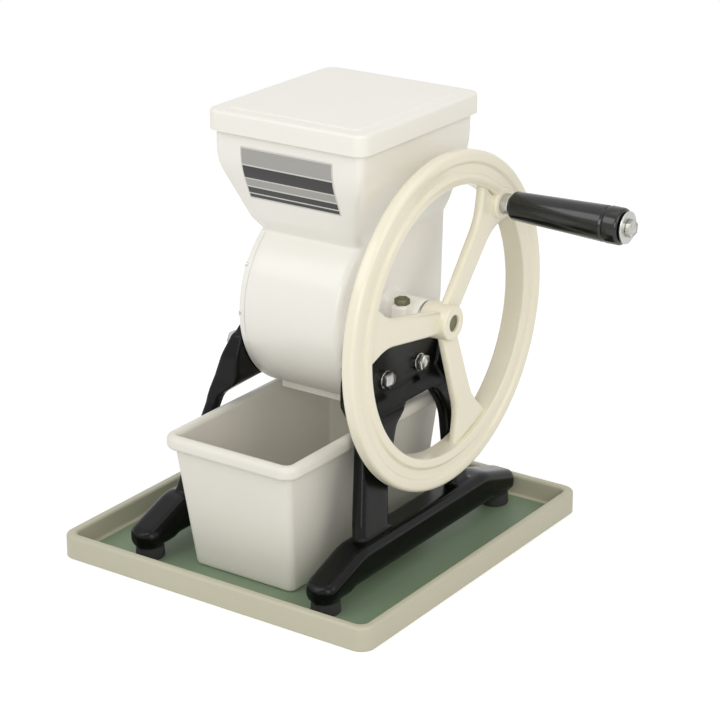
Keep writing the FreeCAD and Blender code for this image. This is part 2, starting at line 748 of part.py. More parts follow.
# Flywheel: beaded rim, three spokes, hub and a boss for the grip's spindle
wheel = new_body("wheel_casting")
turned(wheel, "XZ_Plane", [
    ("wheel_back_inner + 1", "(wheel_radius - rim_depth) - 1"), ("wheel_front - 1", "(wheel_radius - rim_depth)"),
    ("wheel_front", "(wheel_radius - rim_depth) + 1.5"), ("wheel_front", "(wheel_radius - rim_depth) + bead_width"),
    ("wheel_front - bead_rise", "(wheel_radius - rim_depth) + bead_width + 2"),
    ("wheel_front - bead_rise", "wheel_radius - bead_width - 4"),
    ("wheel_front", "wheel_radius - bead_width - 2"), ("wheel_front", "wheel_radius - 3"),
    ("wheel_front - 3", "wheel_radius"), ("wheel_back_outer + 2", "wheel_radius"),
    ("wheel_back_outer", "wheel_radius - 2"), ("wheel_back_inner", "(wheel_radius - rim_depth) + 2")])
turned(wheel, "XZ_Plane", [
    ("hub_back", "shaft_radius + run_gap"), ("hub_web_back", "shaft_radius + run_gap"),
    ("hub_web_back", "hub_screw_radius + hub_screw_clear"),
    ("hub_recess_floor", "hub_screw_radius + hub_screw_clear"), ("hub_recess_floor", "hub_recess"),
    ("hub_front", "hub_recess"), ("hub_front", "hub_radius - 1.5"), ("hub_front - 1.5", "hub_radius"),
    ("hub_back", "hub_radius")])
spoke = extrude(wheel, outline(wheel, "YZ_Plane", [
    ("shaft_radius + 3", "-0.46*spoke_width"), ("(wheel_radius - rim_depth) - spoke_root - 4", "-spoke_width/2", "spoke_root"),
    ("(wheel_radius - rim_depth) - 1.5", "-spoke_width/2 - 0.8*spoke_root"), ("(wheel_radius - rim_depth) - 1.5", "spoke_width/2 + 0.8*spoke_root"),
    ("(wheel_radius - rim_depth) - spoke_root - 4", "spoke_width/2", "spoke_root"), ("shaft_radius + 3", "0.46*spoke_width")],
    "spoke_back"), "spoke_front - spoke_back")
spokes = wheel.newObject("PartDesign::PolarPattern", "spokes")
spokes.Originals = [spoke]
spokes.Axis = ([f for f in wheel.Origin.OriginFeatures if f.Role == "X_Axis"][0], [""])
spokes.Angle = 360
spokes.Occurrences = 3
wheel.Tip = spokes
doc.recompute()
GRIP_Y = "(wheel_radius - grip_inset)*cos(grip_angle - spoke_turn)"
GRIP_Z = "(wheel_radius - grip_inset)*sin(grip_angle - spoke_turn)"
extrude(wheel, circles(wheel, "YZ_Plane", [(GRIP_Y, GRIP_Z, "grip_boss")], "grip_boss_back"),
        "wheel_front - grip_boss_back")
cut_away(wheel, circles(wheel, "YZ_Plane", [(GRIP_Y, GRIP_Z, "spindle_radius")], "wheel_front"),
         "spindle_root")
keyway = block("keyway", "key_length", "key_width", "shaft_radius + key_depth", "hub_back",
               "axis_y - key_width/2", "axis_z")
keep(joined("Cut", "flywheel", placed(wheel, "0", "axis_y", "axis_z", FORE, "spoke_turn"), keyway))
hub_screw = screw("hub_screw", "hub_screw_head", "hub_screw_high", "hub_screw_radius", "hub_screw_length",
                  flats=False)
keep(placed(hub_screw, "hub_recess_floor", "axis_y", "axis_z", ACROSS, "-90"))
keep(ring("thrust_washer", "shaft_radius + run_gap", "hub_radius - 1", "thrust_thick",
          "boss_right_end + (hub_back - boss_right_end - thrust_thick)/2"))

# Grip: turned handle free on a spindle that is screwed into the wheel's boss
AXLE_Y = "axis_y + (wheel_radius - grip_inset)*cos(grip_angle)"
AXLE_Z = "axis_z + (wheel_radius - grip_inset)*sin(grip_angle)"
GRIP_START = "wheel_front + collar_long + grip_gap"
GRIP_END = GRIP_START + " + grip_length"
keep(rod("handle_spindle", "spindle_radius", "spindle_root + collar_long + 2*grip_gap + grip_length"
         " + ferrule_thick + nut_high - 1", "wheel_front - spindle_root", AXLE_Y, AXLE_Z, ACROSS, "90"))
keep(ring("handle_collar", "spindle_radius", "collar_radius", "collar_long", "wheel_front", AXLE_Y, AXLE_Z))
grip = new_body("grip")
turned(grip, "XZ_Plane", [
    ("0", "spindle_radius + grip_bore_gap"), ("grip_length", "spindle_radius + grip_bore_gap"),
    ("grip_length", "grip_large", "grip_end_round"), ("grip_length - grip_groove + 1.5", "grip_large"),
    ("grip_length - grip_groove", "grip_large - 1"), ("grip_length - grip_groove - 1.5", "grip_large - 0.2"),
    ("0.55*grip_length", "0.45*grip_small + 0.55*grip_large"), ("0", "grip_small", "grip_end_round")])
keep(placed(grip, GRIP_START, AXLE_Y, AXLE_Z))
keep(ring("grip_washer", "spindle_radius", "ferrule_radius", "ferrule_thick", GRIP_END + " + grip_gap",
          AXLE_Y, AXLE_Z))
nut_side = "nut_flats/cos(30)/2"
nut = new_body("spindle_nut")
nut_sketch = outline(nut, "YZ_Plane", [(nut_side + "*cos(%d)" % (60 * k), nut_side + "*sin(%d)" % (60 * k))
                                       for k in range(6)])
extrude(nut, nut_sketch, "nut_high")
cut_away(nut, circles(nut, "YZ_Plane", [("0", "0", "spindle_radius")]), "4*nut_high", middle=True)
keep(placed(nut, GRIP_END + " + grip_gap + ferrule_thick", AXLE_Y, AXLE_Z))

# Feet stand inside the tray's rim, and the beams reach past them
FOOT_FRONT = "(tray_depth/2 - tray_rim - foot_radius - foot_front_clear)"
FOOT_REAR = "(tray_depth/2 - tray_rim - foot_radius - foot_rear_clear)"
BEAM_FRONT = FOOT_FRONT + " + beam_front_over"
BEAM_REAR = FOOT_REAR + " + beam_rear_over"

# Side frames: a plate bolted to the drum's end, two splayed legs and a foot beam, one at each side
ARCHES = {"stand_right": ("", "arch_right_foot", "arch_right_mid", "arch_right_top"),
          "stand_left": ("-", "arch_left_foot", "arch_left_mid", "arch_left_top")}
for label, (sign, foot, mid, top) in ARCHES.items():
    section = new_body(label + "_section")
    extrude(section, outline(section, "XZ_Plane", [(sign + "(%s)" % c[0],) + c[1:] for c in [
        ("drum_half", "frame_top"), ("drum_half", "frame_shoulder_z", "2*frame_round"),
        ("frame_shoulder_in", "frame_shoulder_z - frame_shoulder_drop", "2*frame_round"),
        ("beam_in + frame_inset", "beam_bottom + frame_skirt"),
        ("beam_in + beam_width - frame_round", "beam_bottom + frame_skirt"),
        ("frame_shoulder_out", "frame_shoulder_z - frame_shoulder_drop + frame_inset", "2*frame_round"),
        ("drum_half + frame_plate", "frame_shoulder_z", "frame_crease"),
        ("drum_half + frame_plate", "frame_top")]]), "2*(%s)" % BEAM_REAR, middle=True)
    profile = new_body(label + "_profile")
    extrude(profile, outline(profile, "YZ_Plane", [
        ("-frame_nose", "frame_top", "frame_round"), ("-frame_cheek", "frame_top - 2*frame_round", "1.5*frame_round"),
        ("-leg_bulge", "leg_bulge_z", "3.5*frame_round"), ("-leg_widest", "leg_widest_z", "3.5*frame_round"),
        ("-leg_knee", "leg_knee_z", "leg_bend"), ("-leg_shin", "leg_shin_z", "leg_bend/2"),
        ("-leg_toe", "beam_bottom + frame_skirt"), (foot, "beam_bottom + frame_skirt"),
        (mid, "arch_mid_z", "1.25*leg_bend"), (top, "arch_top_z", "4*frame_round"),
        ("arch_crown_front", "arch_crown_z", "3.5*frame_round"),
        ("arch_crown_rear", "arch_crown_z", "4.5*frame_round"), ("arch_rear", "arch_rear_z", "0.75*leg_bend"),
        ("arch_rear_foot", "beam_bottom + frame_skirt"), ("rear_leg_foot", "beam_bottom + frame_skirt"),
        ("rear_leg_knee", "rear_leg_knee_z", "leg_bend"),
        ("frame_rear", "frame_top - frame_rear_drop", "3*frame_round"), ("frame_rear", "frame_top", "frame_round")]),
        "4*beam_in", middle=True)
    legs = joined("Common", label + "_legs", section, profile)
    beam = new_body(label + "_beam")
    extrude(beam, outline(beam, "YZ_Plane", [
        ("-(%s)" % BEAM_FRONT, "beam_bottom"), ("-beam_arch_front", "beam_bottom"),
        ("-beam_arch_front + 4", "beam_bottom + beam_arch"), ("beam_arch_rear - 4", "beam_bottom + beam_arch"),
        ("beam_arch_rear", "beam_bottom"), (BEAM_REAR, "beam_bottom"),
        (BEAM_REAR, "beam_nose", "beam_round"), (BEAM_REAR + " - beam_nose_run", "beam_top", "beam_bend"),
        ("-(%s) + beam_nose_run" % BEAM_FRONT, "beam_top", "beam_bend"),
        ("-(%s)" % BEAM_FRONT, "beam_nose", "beam_round")],
        sign + "beam_in"), "beam_width", back=bool(sign))
    rounded(beam, "beam_round - 1", lambda e: e.BoundBox.XLength < 0.01 and e.BoundBox.ZMax > val("beam_nose")
            and e.BoundBox.ZMin > val("beam_bottom + beam_arch + 0.1"))
    whole = joined("Fuse", label + "_whole", legs, beam)
    out = "drum_half" if not sign else "-drum_half - frame_plate"
    cuts = row_of_rods(label + "_hole", "bolt_radius", "frame_plate + 2", out + " - 1", FRAME_BOLTS)
    for y in ("-" + FOOT_FRONT, FOOT_REAR):
        cuts.append(rod(label + "_peg_hole", "foot_peg", "foot_peg_high", sign + "(beam_in + beam_width/2)",
                        y, "beam_bottom"))
    keep(joined("Cut", label, whole, several(label + "_cuts", *cuts)))
    bolt = screw(label + "_bolt", "bolt_flats", "bolt_head", "bolt_radius",
                 "frame_plate + washer_thick + bolt_bite")
    at = sign + "(drum_half + frame_plate + washer_thick)"
    keep(group(label.replace("stand", "frame_bolts"), bolt,
               [(at, y, z, ACROSS, "90" if sign else "-90") for y, z in FRAME_BOLTS]))
    washer = ring(label + "_washer", "bolt_radius", "washer_radius", "washer_thick", "0", "0", "0")
    keep(group(label.replace("stand", "frame_washers"), washer,
               [("drum_half + frame_plate" if not sign else "-drum_half - frame_plate - washer_thick", y, z)
                for y, z in FRAME_BOLTS]))

foot = new_body("foot_one")
extrude(foot, circles(foot, "XY_Plane", [("0", "0", "foot_radius")]), "beam_bottom - tray_floor")
extrude(foot, circles(foot, "XY_Plane", [("0", "0", "foot_peg")], "beam_bottom - tray_floor"), "foot_peg_high")
keep(group("stand_feet", foot, [(side + "(beam_in + beam_width/2)", y, "tray_floor")
                                for side in ("", "-") for y in ("-" + FOOT_FRONT, FOOT_REAR)]))

doc.recompute()
for thing in doc.Objects:
    if "Invalid" in thing.State or "Error" in thing.State:
        raise RuntimeError("%s is not computed: %s" % (thing.Label, thing.State))
for thing in NODES:
    if thing.Shape.isNull() or not thing.Shape.isValid():
        raise RuntimeError("%s has no sound shape" % thing.Label)
    thing.Shape.exportStep("parts/%s.step" % thing.Label)
    box = thing.Shape.BoundBox
    print("%-20s %2d solids  X %7.1f %7.1f  Y %7.1f %7.1f  Z %7.1f %7.1f" % (
        thing.Label, len(thing.Shape.Solids), box.XMin, box.XMax, box.YMin, box.YMax, box.ZMin, box.ZMax))
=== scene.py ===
"""A hand cranked ice shaver in ivory enamel on a black cast stand, in its grey-green tray.

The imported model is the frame. Each class dresses one sub-assembly: it holds the sizes in millimetres,
works its surfaces out as numpy arrays and gives them their finishes.
"""
from __future__ import annotations

import json
import logging
from dataclasses import dataclass
from enum import Enum
from typing import Callable, Sequence

import bmesh
import bpy
import numpy as np
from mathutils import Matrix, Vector

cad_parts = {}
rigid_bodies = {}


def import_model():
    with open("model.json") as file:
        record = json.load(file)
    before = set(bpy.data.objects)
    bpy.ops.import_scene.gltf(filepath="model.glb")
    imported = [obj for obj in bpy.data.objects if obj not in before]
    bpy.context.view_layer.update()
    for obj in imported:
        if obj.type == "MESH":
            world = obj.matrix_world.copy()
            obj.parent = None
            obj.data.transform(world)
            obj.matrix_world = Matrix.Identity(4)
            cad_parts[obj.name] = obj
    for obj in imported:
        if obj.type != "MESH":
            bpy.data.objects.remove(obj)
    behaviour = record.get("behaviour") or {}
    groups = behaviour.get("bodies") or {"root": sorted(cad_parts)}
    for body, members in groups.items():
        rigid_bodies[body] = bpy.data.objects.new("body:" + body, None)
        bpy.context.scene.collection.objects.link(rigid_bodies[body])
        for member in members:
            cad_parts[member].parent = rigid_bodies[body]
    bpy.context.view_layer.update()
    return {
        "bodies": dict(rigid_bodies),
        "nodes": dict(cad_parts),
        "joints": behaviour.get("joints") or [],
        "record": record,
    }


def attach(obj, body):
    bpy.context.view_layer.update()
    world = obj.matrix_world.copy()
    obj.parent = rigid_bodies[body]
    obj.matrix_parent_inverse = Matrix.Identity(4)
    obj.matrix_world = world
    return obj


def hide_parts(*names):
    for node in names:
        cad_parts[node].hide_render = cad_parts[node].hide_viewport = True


LOG = logging.getLogger("ice_shaver")
METRES = 0.001
AXIS_Y = 26.9
AXIS_Z = 198.2
CRANK_THROW = 109.0
CRANK_ANGLE = np.radians(46.3)
WHITE = (1.0, 1.0, 1.0, 1.0)

Colour = tuple[float, float, float]
Corners = Sequence[Sequence[float]]
Levels = list[tuple[float, float]]


def linear(colour: Colour) -> tuple[float, float, float, float]:
    """Turns a colour as it is seen, in 0 to 255, into linear light with an alpha of one."""
    seen = np.asarray(colour, dtype=float) / 255.0
    light = np.where(seen <= 0.04045, seen / 12.92, ((seen + 0.055) / 1.055) ** 2.4)
    return (float(light[0]), float(light[1]), float(light[2]), 1.0)


def crank_pin() -> tuple[float, float]:
    """Where the handle's spindle crosses the wheel, as (y, z)."""
    across, up = float(np.cos(CRANK_ANGLE)), float(np.sin(CRANK_ANGLE))
    return (AXIS_Y + CRANK_THROW * across, AXIS_Z + CRANK_THROW * up)


class Wiring:
    """The node tree of a material or a world, with short ways to add nodes and join them."""

    def __init__(self, owner: bpy.types.Material | bpy.types.World) -> None:
        owner.use_nodes = True
        self.tree = owner.node_tree

    def fill(self, node: bpy.types.Node, values: dict[str | int, object]) -> None:
        """Sets inputs of a node, by their names or numbers."""
        for entry, value in values.items():
            node.inputs[entry].default_value = value

    def add(self, kind: str, values: dict[str | int, object] | None = None,
            **settings: object) -> bpy.types.Node:
        """Adds a node.

        Args:
            kind: Its type's name without the leading ShaderNode.
            values: Values for its inputs.
            settings: Settings of the node itself, which are made first.

        Returns:
            The node.
        """
        node = self.tree.nodes.new("ShaderNode" + kind)
        for name, setting in settings.items():
            setattr(node, name, setting)
        self.fill(node, values or {})
        return node

    def join(self, source: bpy.types.Node, output: str, target: bpy.types.Node, entry: str | int) -> None:
        """Joins an output of one node to an input of another."""
        self.tree.links.new(source.outputs[output], target.inputs[entry])


class Grain(Enum):
    """How a finish is broken up: fine orange peel, moulded texture, cast sand or lathe lines."""

    PEEL = "peel"
    MOULDED = "moulded"
    CAST = "cast"
    TURNED = "turned"


@dataclass(frozen=True)
class Finish:
    """One material: two tones that drift into each other, with its gloss and its surface grain.

    Sizes of the grain are in millimetres and heights are in hundredths of a millimetre.
    """

    name: str
    tone: Colour
    drift: Colour
    rough: tuple[float, float]
    grain: Grain = Grain.PEEL
    grain_size: float = 2.0
    height: float = 1.0
    metallic: float = 0.0
    coat: float = 0.0
    coat_rough: float = 0.08
    specular: float = 0.5

    def build(self) -> bpy.types.Material:
        """Makes the material, or hands back the one that is there already.

        Returns:
            A material whose colour mixes the two tones by a slow noise, whose roughness follows a
            finer noise, and whose bump follows the grain.
        """
        found = bpy.data.materials.get(self.name)
        if found is not None:
            return found
        made = bpy.data.materials.new(self.name)
        wires = Wiring(made)
        shader = wires.tree.nodes["Principled BSDF"]
        wires.fill(shader, {"Metallic": self.metallic, "Specular IOR Level": self.specular,
                            "Coat Weight": self.coat, "Coat Roughness": self.coat_rough})
        place = wires.add("TexCoord")
        tones = wires.add("Mix", {"A": linear(self.tone), "B": linear(self.drift)}, data_type="RGBA")
        wires.join(self._noise(wires, place, scale=18.0, detail=3.0), "Fac", tones, "Factor")
        wires.join(tones, "Result", shader, "Base Color")
        gloss = wires.add("MapRange", {"From Min": 0.3, "From Max": 0.7, "To Min": self.rough[0],
                                       "To Max": self.rough[1]})
        wires.join(self._noise(wires, place, scale=90.0, detail=4.0), "Fac", gloss, "Value")
        wires.join(gloss, "Result", shader, "Roughness")
        bump = wires.add("Bump", {"Strength": 0.6, "Distance": self.height * 0.01 * METRES})
        wires.join(self._grain(wires, place), "Fac", bump, "Height")
        wires.join(bump, "Normal", shader, "Normal")
        return made

    def _noise(self, wires: Wiring, place: bpy.types.Node, scale: float, detail: float) -> bpy.types.Node:
        """A noise on object coordinates with a scale per metre."""
        node = wires.add("TexNoise", {"Scale": scale, "Detail": detail})
        wires.join(place, "Object", node, "Vector")
        return node

    def _grain(self, wires: Wiring, place: bpy.types.Node) -> bpy.types.Node:
        """The height pattern that the finish's kind of grain has."""
        scale = 1.0 / (self.grain_size * METRES)
        if self.grain is Grain.TURNED:
            bands = wires.add("TexWave", {"Scale": scale * 0.3, "Distortion": 0.6}, bands_direction="X")
            wires.join(place, "Object", bands, "Vector")
            return bands
        node = self._noise(wires, place, scale, 2.0 if self.grain is Grain.PEEL else 6.0)
        if self.grain is Grain.CAST:
            wires.fill(node, {"Roughness": 0.7})
        return node


@dataclass(frozen=True)
class BandedPlate:
    """The front plate's print: grey and black bands on bright metal, with no words."""

    name: str = "banded_plate"
    metal: Colour = (205, 203, 198)
    grey: Colour = (160, 158, 154)
    black: Colour = (26, 24, 24)
    bottom: float = 291.0
    top: float = 336.0
    printed_half: float = 42.6

    def build(self) -> bpy.types.Material:
        """Makes the material: bands stacked up the plate by its height, as constant steps of a ramp.

        Returns:
            The material, brushed under a clear lacquer, with a bare margin at both sides.
        """
        made = bpy.data.materials.new(self.name)
        wires = Wiring(made)
        shader = wires.tree.nodes["Principled BSDF"]
        wires.fill(shader, {"Coat Weight": 0.25, "Coat Roughness": 0.15})
        place = wires.add("TexCoord")
        split = wires.add("SeparateXYZ")
        wires.join(place, "Object", split, "Vector")
        height = wires.add("MapRange", {"From Min": self.bottom * METRES, "From Max": self.top * METRES})
        wires.join(split, "Z", height, "Value")
        ramp = wires.add("ValToRGB")
        self._bands(ramp.color_ramp)
        wires.join(height, "Result", ramp, "Fac")
        sides = wires.add("Math", operation="ABSOLUTE")
        wires.join(split, "X", sides, 0)
        margin = wires.add("Math", {1: self.printed_half * METRES}, operation="GREATER_THAN")
        wires.join(sides, "Value", margin, 0)
        edge = wires.add("Mix", {"B": linear(self.metal)}, data_type="RGBA")
        wires.join(margin, "Value", edge, "Factor")
        wires.join(ramp, "Color", edge, "A")
        wires.join(edge, "Result", shader, "Base Color")
        stretch = wires.add("Mapping", {"Scale": (40.0, 900.0, 2600.0)})
        wires.join(place, "Object", stretch, "Vector")
        brushed = wires.add("TexNoise")
        wires.join(stretch, "Vector", brushed, "Vector")
        gloss = wires.add("MapRange", {"To Min": 0.28, "To Max": 0.5})
        wires.join(brushed, "Fac", gloss, "Value")
        wires.join(gloss, "Result", shader, "Roughness")
        return made

    def _bands(self, ramp: bpy.types.ColorRamp) -> None:
        """Stacks the bands on a ramp, each from its share of the plate's height."""
        ramp.interpolation = "CONSTANT"
        steps = [(0.0, self.metal), (0.035, self.black), (0.1, self.metal), (0.125, self.black),
                 (0.235, self.metal), (0.265, self.grey), (0.40, self.metal), (0.425, self.black),
                 (0.655, self.metal), (0.68, self.grey), (0.965, self.metal)]
        while len(ramp.elements) < len(steps):
            ramp.elements.new(0.5)
        for element, (at, colour) in zip(ramp.elements, steps):
            element.position = at
            element.color = linear(colour)


IVORY = Finish("ivory_enamel", (240, 238, 231), (239, 236, 228), (0.3, 0.33), Grain.PEEL, 3.2, 0.5, coat=0.25)
IVORY_LID = Finish("ivory_lid", (241, 239, 231), (239, 236, 227), (0.36, 0.42), Grain.MOULDED, 0.9, 0.6)
CREAM = Finish("cream_wheel_enamel", (236, 230, 209), (234, 228, 206), (0.28, 0.31), Grain.PEEL, 3.2, 0.5,
               coat=0.3)
BLACK = Finish("black_stand_enamel", (4, 7, 5), (7, 10, 8), (0.2, 0.26), Grain.CAST, 2.4, 2.0,
               specular=0.2)
GREY_TUB = Finish("grey_tub_plastic", (232, 229, 220), (226, 222, 212), (0.4, 0.52), Grain.MOULDED, 0.7, 0.8)
TRAY_RIM = Finish("tray_rim_plastic", (192, 189, 168), (188, 184, 162), (0.42, 0.5), Grain.MOULDED, 0.9, 0.6)
TRAY_FLOOR = Finish("tray_floor_plastic", (126, 146, 119), (121, 140, 114), (0.42, 0.5), Grain.MOULDED, 0.9,
                    0.6)
GRIP_BLACK = Finish("grip_black", (8, 12, 9), (13, 17, 14), (0.14, 0.22), Grain.PEEL, 4.0, 0.6, coat=0.12)
ZINC = Finish("bright_zinc", (205, 205, 200), (178, 178, 174), (0.2, 0.36), Grain.TURNED, 0.5, 0.8,
              metallic=1.0)
AGED = Finish("aged_zinc", (128, 126, 100), (96, 95, 74), (0.38, 0.55), Grain.CAST, 1.2, 3.0, metallic=0.75)
STEEL = Finish("turned_steel", (176, 177, 178), (158, 159, 161), (0.24, 0.38), Grain.TURNED, 0.4, 1.0,
               metallic=1.0)
BLADE = Finish("ground_blade", (198, 200, 202), (184, 186, 188), (0.16, 0.28), Grain.TURNED, 0.3, 0.8,
               metallic=1.0)
CAST_ALLOY = Finish("cast_alloy", (184, 185, 184), (168, 169, 168), (0.4, 0.55), Grain.CAST, 1.6, 6.0,
                    metallic=1.0)
BRASS = Finish("bush_brass", (202, 172, 104), (188, 156, 88), (0.26, 0.4), Grain.TURNED, 0.4, 1.0,
               metallic=1.0)
RUBBER = Finish("foot_rubber", (30, 31, 30), (38, 39, 37), (0.7, 0.85), Grain.CAST, 1.0, 3.0, specular=0.3)


@dataclass
class Surface:
    """A bare surface in millimetres: points and the faces over them, turned outwards."""

    points: np.ndarray
    faces: list[Sequence[int]]

    def joined(self, *others: "Surface") -> "Surface":
        """This surface with others beside it, as one."""
        points, faces = [self.points], list(self.faces)
        count = len(self.points)
        for other in others:
            points.append(other.points)
            faces.extend([[i + count for i in face] for face in other.faces])
            count += len(other.points)
        return Surface(np.vstack(points), faces)

    def mesh(self, name: str) -> bpy.types.Mesh:
        """A mesh of this surface, in metres."""
        made = bpy.data.meshes.new(name)
        made.from_pydata((self.points * METRES).tolist(), [], [list(map(int, f)) for f in self.faces])
        return made


def quads(rows: int, columns: int, wrap_rows: bool = False, wrap_columns: bool = True) -> np.ndarray:
    """Faces over a grid of points, row by row.

    Each face goes (r, c), (r, c+1), (r+1, c+1), (r+1, c), so it looks outwards where a row runs
    anticlockwise about the direction in which the rows follow each other.

    Args:
        rows: Number of rows.
        columns: Number of points in a row.
        wrap_rows: Whether the last row joins the first.
        wrap_columns: Whether the last point of a row joins its first.

    Returns:
        An array with four point numbers a face.
    """
    r = np.arange(rows if wrap_rows else rows - 1)
    c = np.arange(columns if wrap_columns else columns - 1)
    rr, cc = np.meshgrid(r, c, indexing="ij")
    r1, c1 = (rr + 1) % rows, (cc + 1) % columns
    corners = [rr * columns + cc, rr * columns + c1, r1 * columns + c1, r1 * columns + cc]
    return np.stack(corners, axis=-1).reshape(-1, 4)


def loft(rows: np.ndarray, cap_first: bool = False, cap_last: bool = False, wrap: bool = False) -> Surface:
    """A surface through closed loops of points.

    Args:
        rows: Array of loops by points by three coordinates.
        cap_first: Whether a flat face closes the first loop.
        cap_last: Whether a flat face closes the last loop.
        wrap: Whether the last loop joins the first.

    Returns:
        The surface.
    """
    count, around = rows.shape[:2]
    faces = quads(count, around, wrap_rows=wrap).tolist()
    if cap_first:
        faces.append(list(range(around))[::-1])
    if cap_last:
        faces.append(list(range((count - 1) * around, count * around)))
    return Surface(rows.reshape(-1, 3), faces)


def arced(corners: Corners, steps: int = 6, closed: bool = True) -> np.ndarray:
    """A flat line through corners (a, b, radius), each rounded by an arc.

    The arc touches both sides of its corner at radius times the tangent of half the angle that the line
    turns through there. The radius shrinks where the sides are too short for it.

    Args:
        corners: Corners with an optional radius each.
        steps: Pieces in each arc.
        closed: Whether the last corner joins the first.

    Returns:
        Points of the line, two coordinates each.
    """
    spots = np.array([c[:2] for c in corners], dtype=float)
    radii = [float(c[2]) if len(c) > 2 else 0.0 for c in corners]
    line: list[np.ndarray] = []
    count = len(spots)
    for i, here in enumerate(spots):
        if radii[i] <= 0 or (not closed and i in (0, count - 1)):
            line.append(here[None, :])
            continue
        back, ahead = spots[i - 1] - here, spots[(i + 1) % count] - here
        back_long, ahead_long = np.linalg.norm(back), np.linalg.norm(ahead)
        back, ahead = back / back_long, ahead / ahead_long
        half = np.arccos(np.clip(back @ ahead, -1, 1)) / 2
        reach = min(radii[i] / np.tan(half), 0.49 * back_long, 0.49 * ahead_long)
        radius = reach * np.tan(half)
        middle = here + (back + ahead) / np.linalg.norm(back + ahead) * radius / np.sin(half)
        start, end = here + back * reach - middle, here + ahead * reach - middle
        turn = np.arctan2(start[0] * end[1] - start[1] * end[0], start @ end)
        angle = np.arctan2(start[1], start[0]) + np.linspace(0, 1, steps + 1) * turn
        line.append(middle + radius * np.stack([np.cos(angle), np.sin(angle)], axis=1))
    return np.vstack(line)


def spread(line: np.ndarray, spacing: float) -> np.ndarray:
    """The same open line with extra points on its long runs, none further apart than a spacing."""
    parts = []
    for a, b in zip(line[:-1], line[1:]):
        cuts = max(1, int(np.ceil(np.linalg.norm(b - a) / spacing)))
        parts.append(a + (b - a) * (np.arange(cuts) / cuts)[:, None])
    parts.append(line[-1:])
    return np.vstack(parts)


def rectangle(left: float, right: float, front: float, rear: float, radius: float,
              steps: int) -> np.ndarray:
    """A rectangle with round corners, anticlockwise seen from above.

    Every rectangle has the same number of points, so loops of different sizes join point to point.
    """
    radius = max(radius, 0.05)
    middles = np.array([[right - radius, rear - radius], [left + radius, rear - radius],
                        [left + radius, front + radius], [right - radius, front + radius]])
    parts = []
    for k, middle in enumerate(middles):
        angle = np.pi / 2 * (k + np.linspace(0, 1, steps + 1))
        parts.append(middle + radius * np.stack([np.cos(angle), np.sin(angle)], axis=1))
    return np.vstack(parts)


def level(loop: np.ndarray, height: float) -> np.ndarray:
    """A flat loop of (x, y) lifted to a height."""
    return np.column_stack([loop, np.full(len(loop), height)])


def turned(profile: np.ndarray, y: float = AXIS_Y, z: float = AXIS_Z, around: int = 64,
           closed: bool = False) -> Surface:
    """A surface of revolution about a line along +X.

    Each profile point (x, r) becomes a circle: (x, y + r cos angle, z + r sin angle). The outer side of
    the profile runs towards +X, which turns the faces outwards.

    Args:
        profile: Points (x, r).
        y: Place of the axis along Y.
        z: Place of the axis along Z.
        around: Points in a circle.
        closed: Whether the profile's end joins its start.

    Returns:
        The surface; ends that lie on the axis close when doubles are merged.
    """
    angle = np.arange(around) * 2 * np.pi / around
    x, r = profile[:, :1], profile[:, 1:]
    along = np.broadcast_to(x, (len(profile), around))
    return loft(np.stack([along, y + r * np.cos(angle), z + r * np.sin(angle)], axis=-1), wrap=closed)


def slab(outline: np.ndarray, levels: Levels) -> Surface:
    """A plate across X whose outline (y, z) shrinks by an inset at each level (x, inset).

    A point of the outline moves by the inset along the inward normal, which is the mean of its two sides'
    directions turned by a quarter. Both ends are closed with a flat face.
    """
    ahead = np.roll(outline, -1, axis=0) - outline
    ahead /= np.linalg.norm(ahead, axis=1)[:, None]
    back = np.roll(ahead, 1, axis=0)
    mean = ahead + back
    mean /= np.maximum(np.linalg.norm(mean, axis=1)[:, None], 1e-9)
    inward = np.column_stack([-mean[:, 1], mean[:, 0]])
    stretch = 1.0 / np.maximum(np.abs((mean * ahead).sum(axis=1)), 0.5)
    rows = [np.column_stack([np.full(len(outline), x), outline + inward * (inset * stretch)[:, None]])
            for x, inset in levels]
    return loft(np.array(rows), True, True)


def round_levels(start: float, end: float, radius: float, steps: int = 4,
                 last: bool = True) -> Levels:
    """Levels (x, inset) of a plate with a quarter-round edge at its first face and, where asked, its last."""
    turn = np.linspace(0, np.pi / 2, steps + 1)
    levels = [(start + radius * (1 - np.sin(a)), radius * (1 - np.cos(a))) for a in turn[::-1]]
    if not last:
        return levels + [(end, 0.0)]
    return levels + [(end - radius * (1 - np.sin(a)), radius * (1 - np.cos(a))) for a in turn]


def disc(y: float, z: float, radius: float, around: int = 48) -> np.ndarray:
    """A circle as an outline (y, z)."""
    angle = np.arange(around) * 2 * np.pi / around
    return np.column_stack([y + radius * np.cos(angle), z + radius * np.sin(angle)])


def hexagon(y: float, z: float, flats: float, turn: float = 0.0) -> np.ndarray:
    """A hexagon as an outline (y, z), with the corners split so that a chamfer keeps them crisp."""
    angle = turn + np.arange(6) * np.pi / 3
    corners = np.column_stack([y + flats / np.sqrt(3) * np.cos(angle), z + flats / np.sqrt(3) * np.sin(angle),
                               np.full(6, 0.6)])
    return arced(corners, 2)


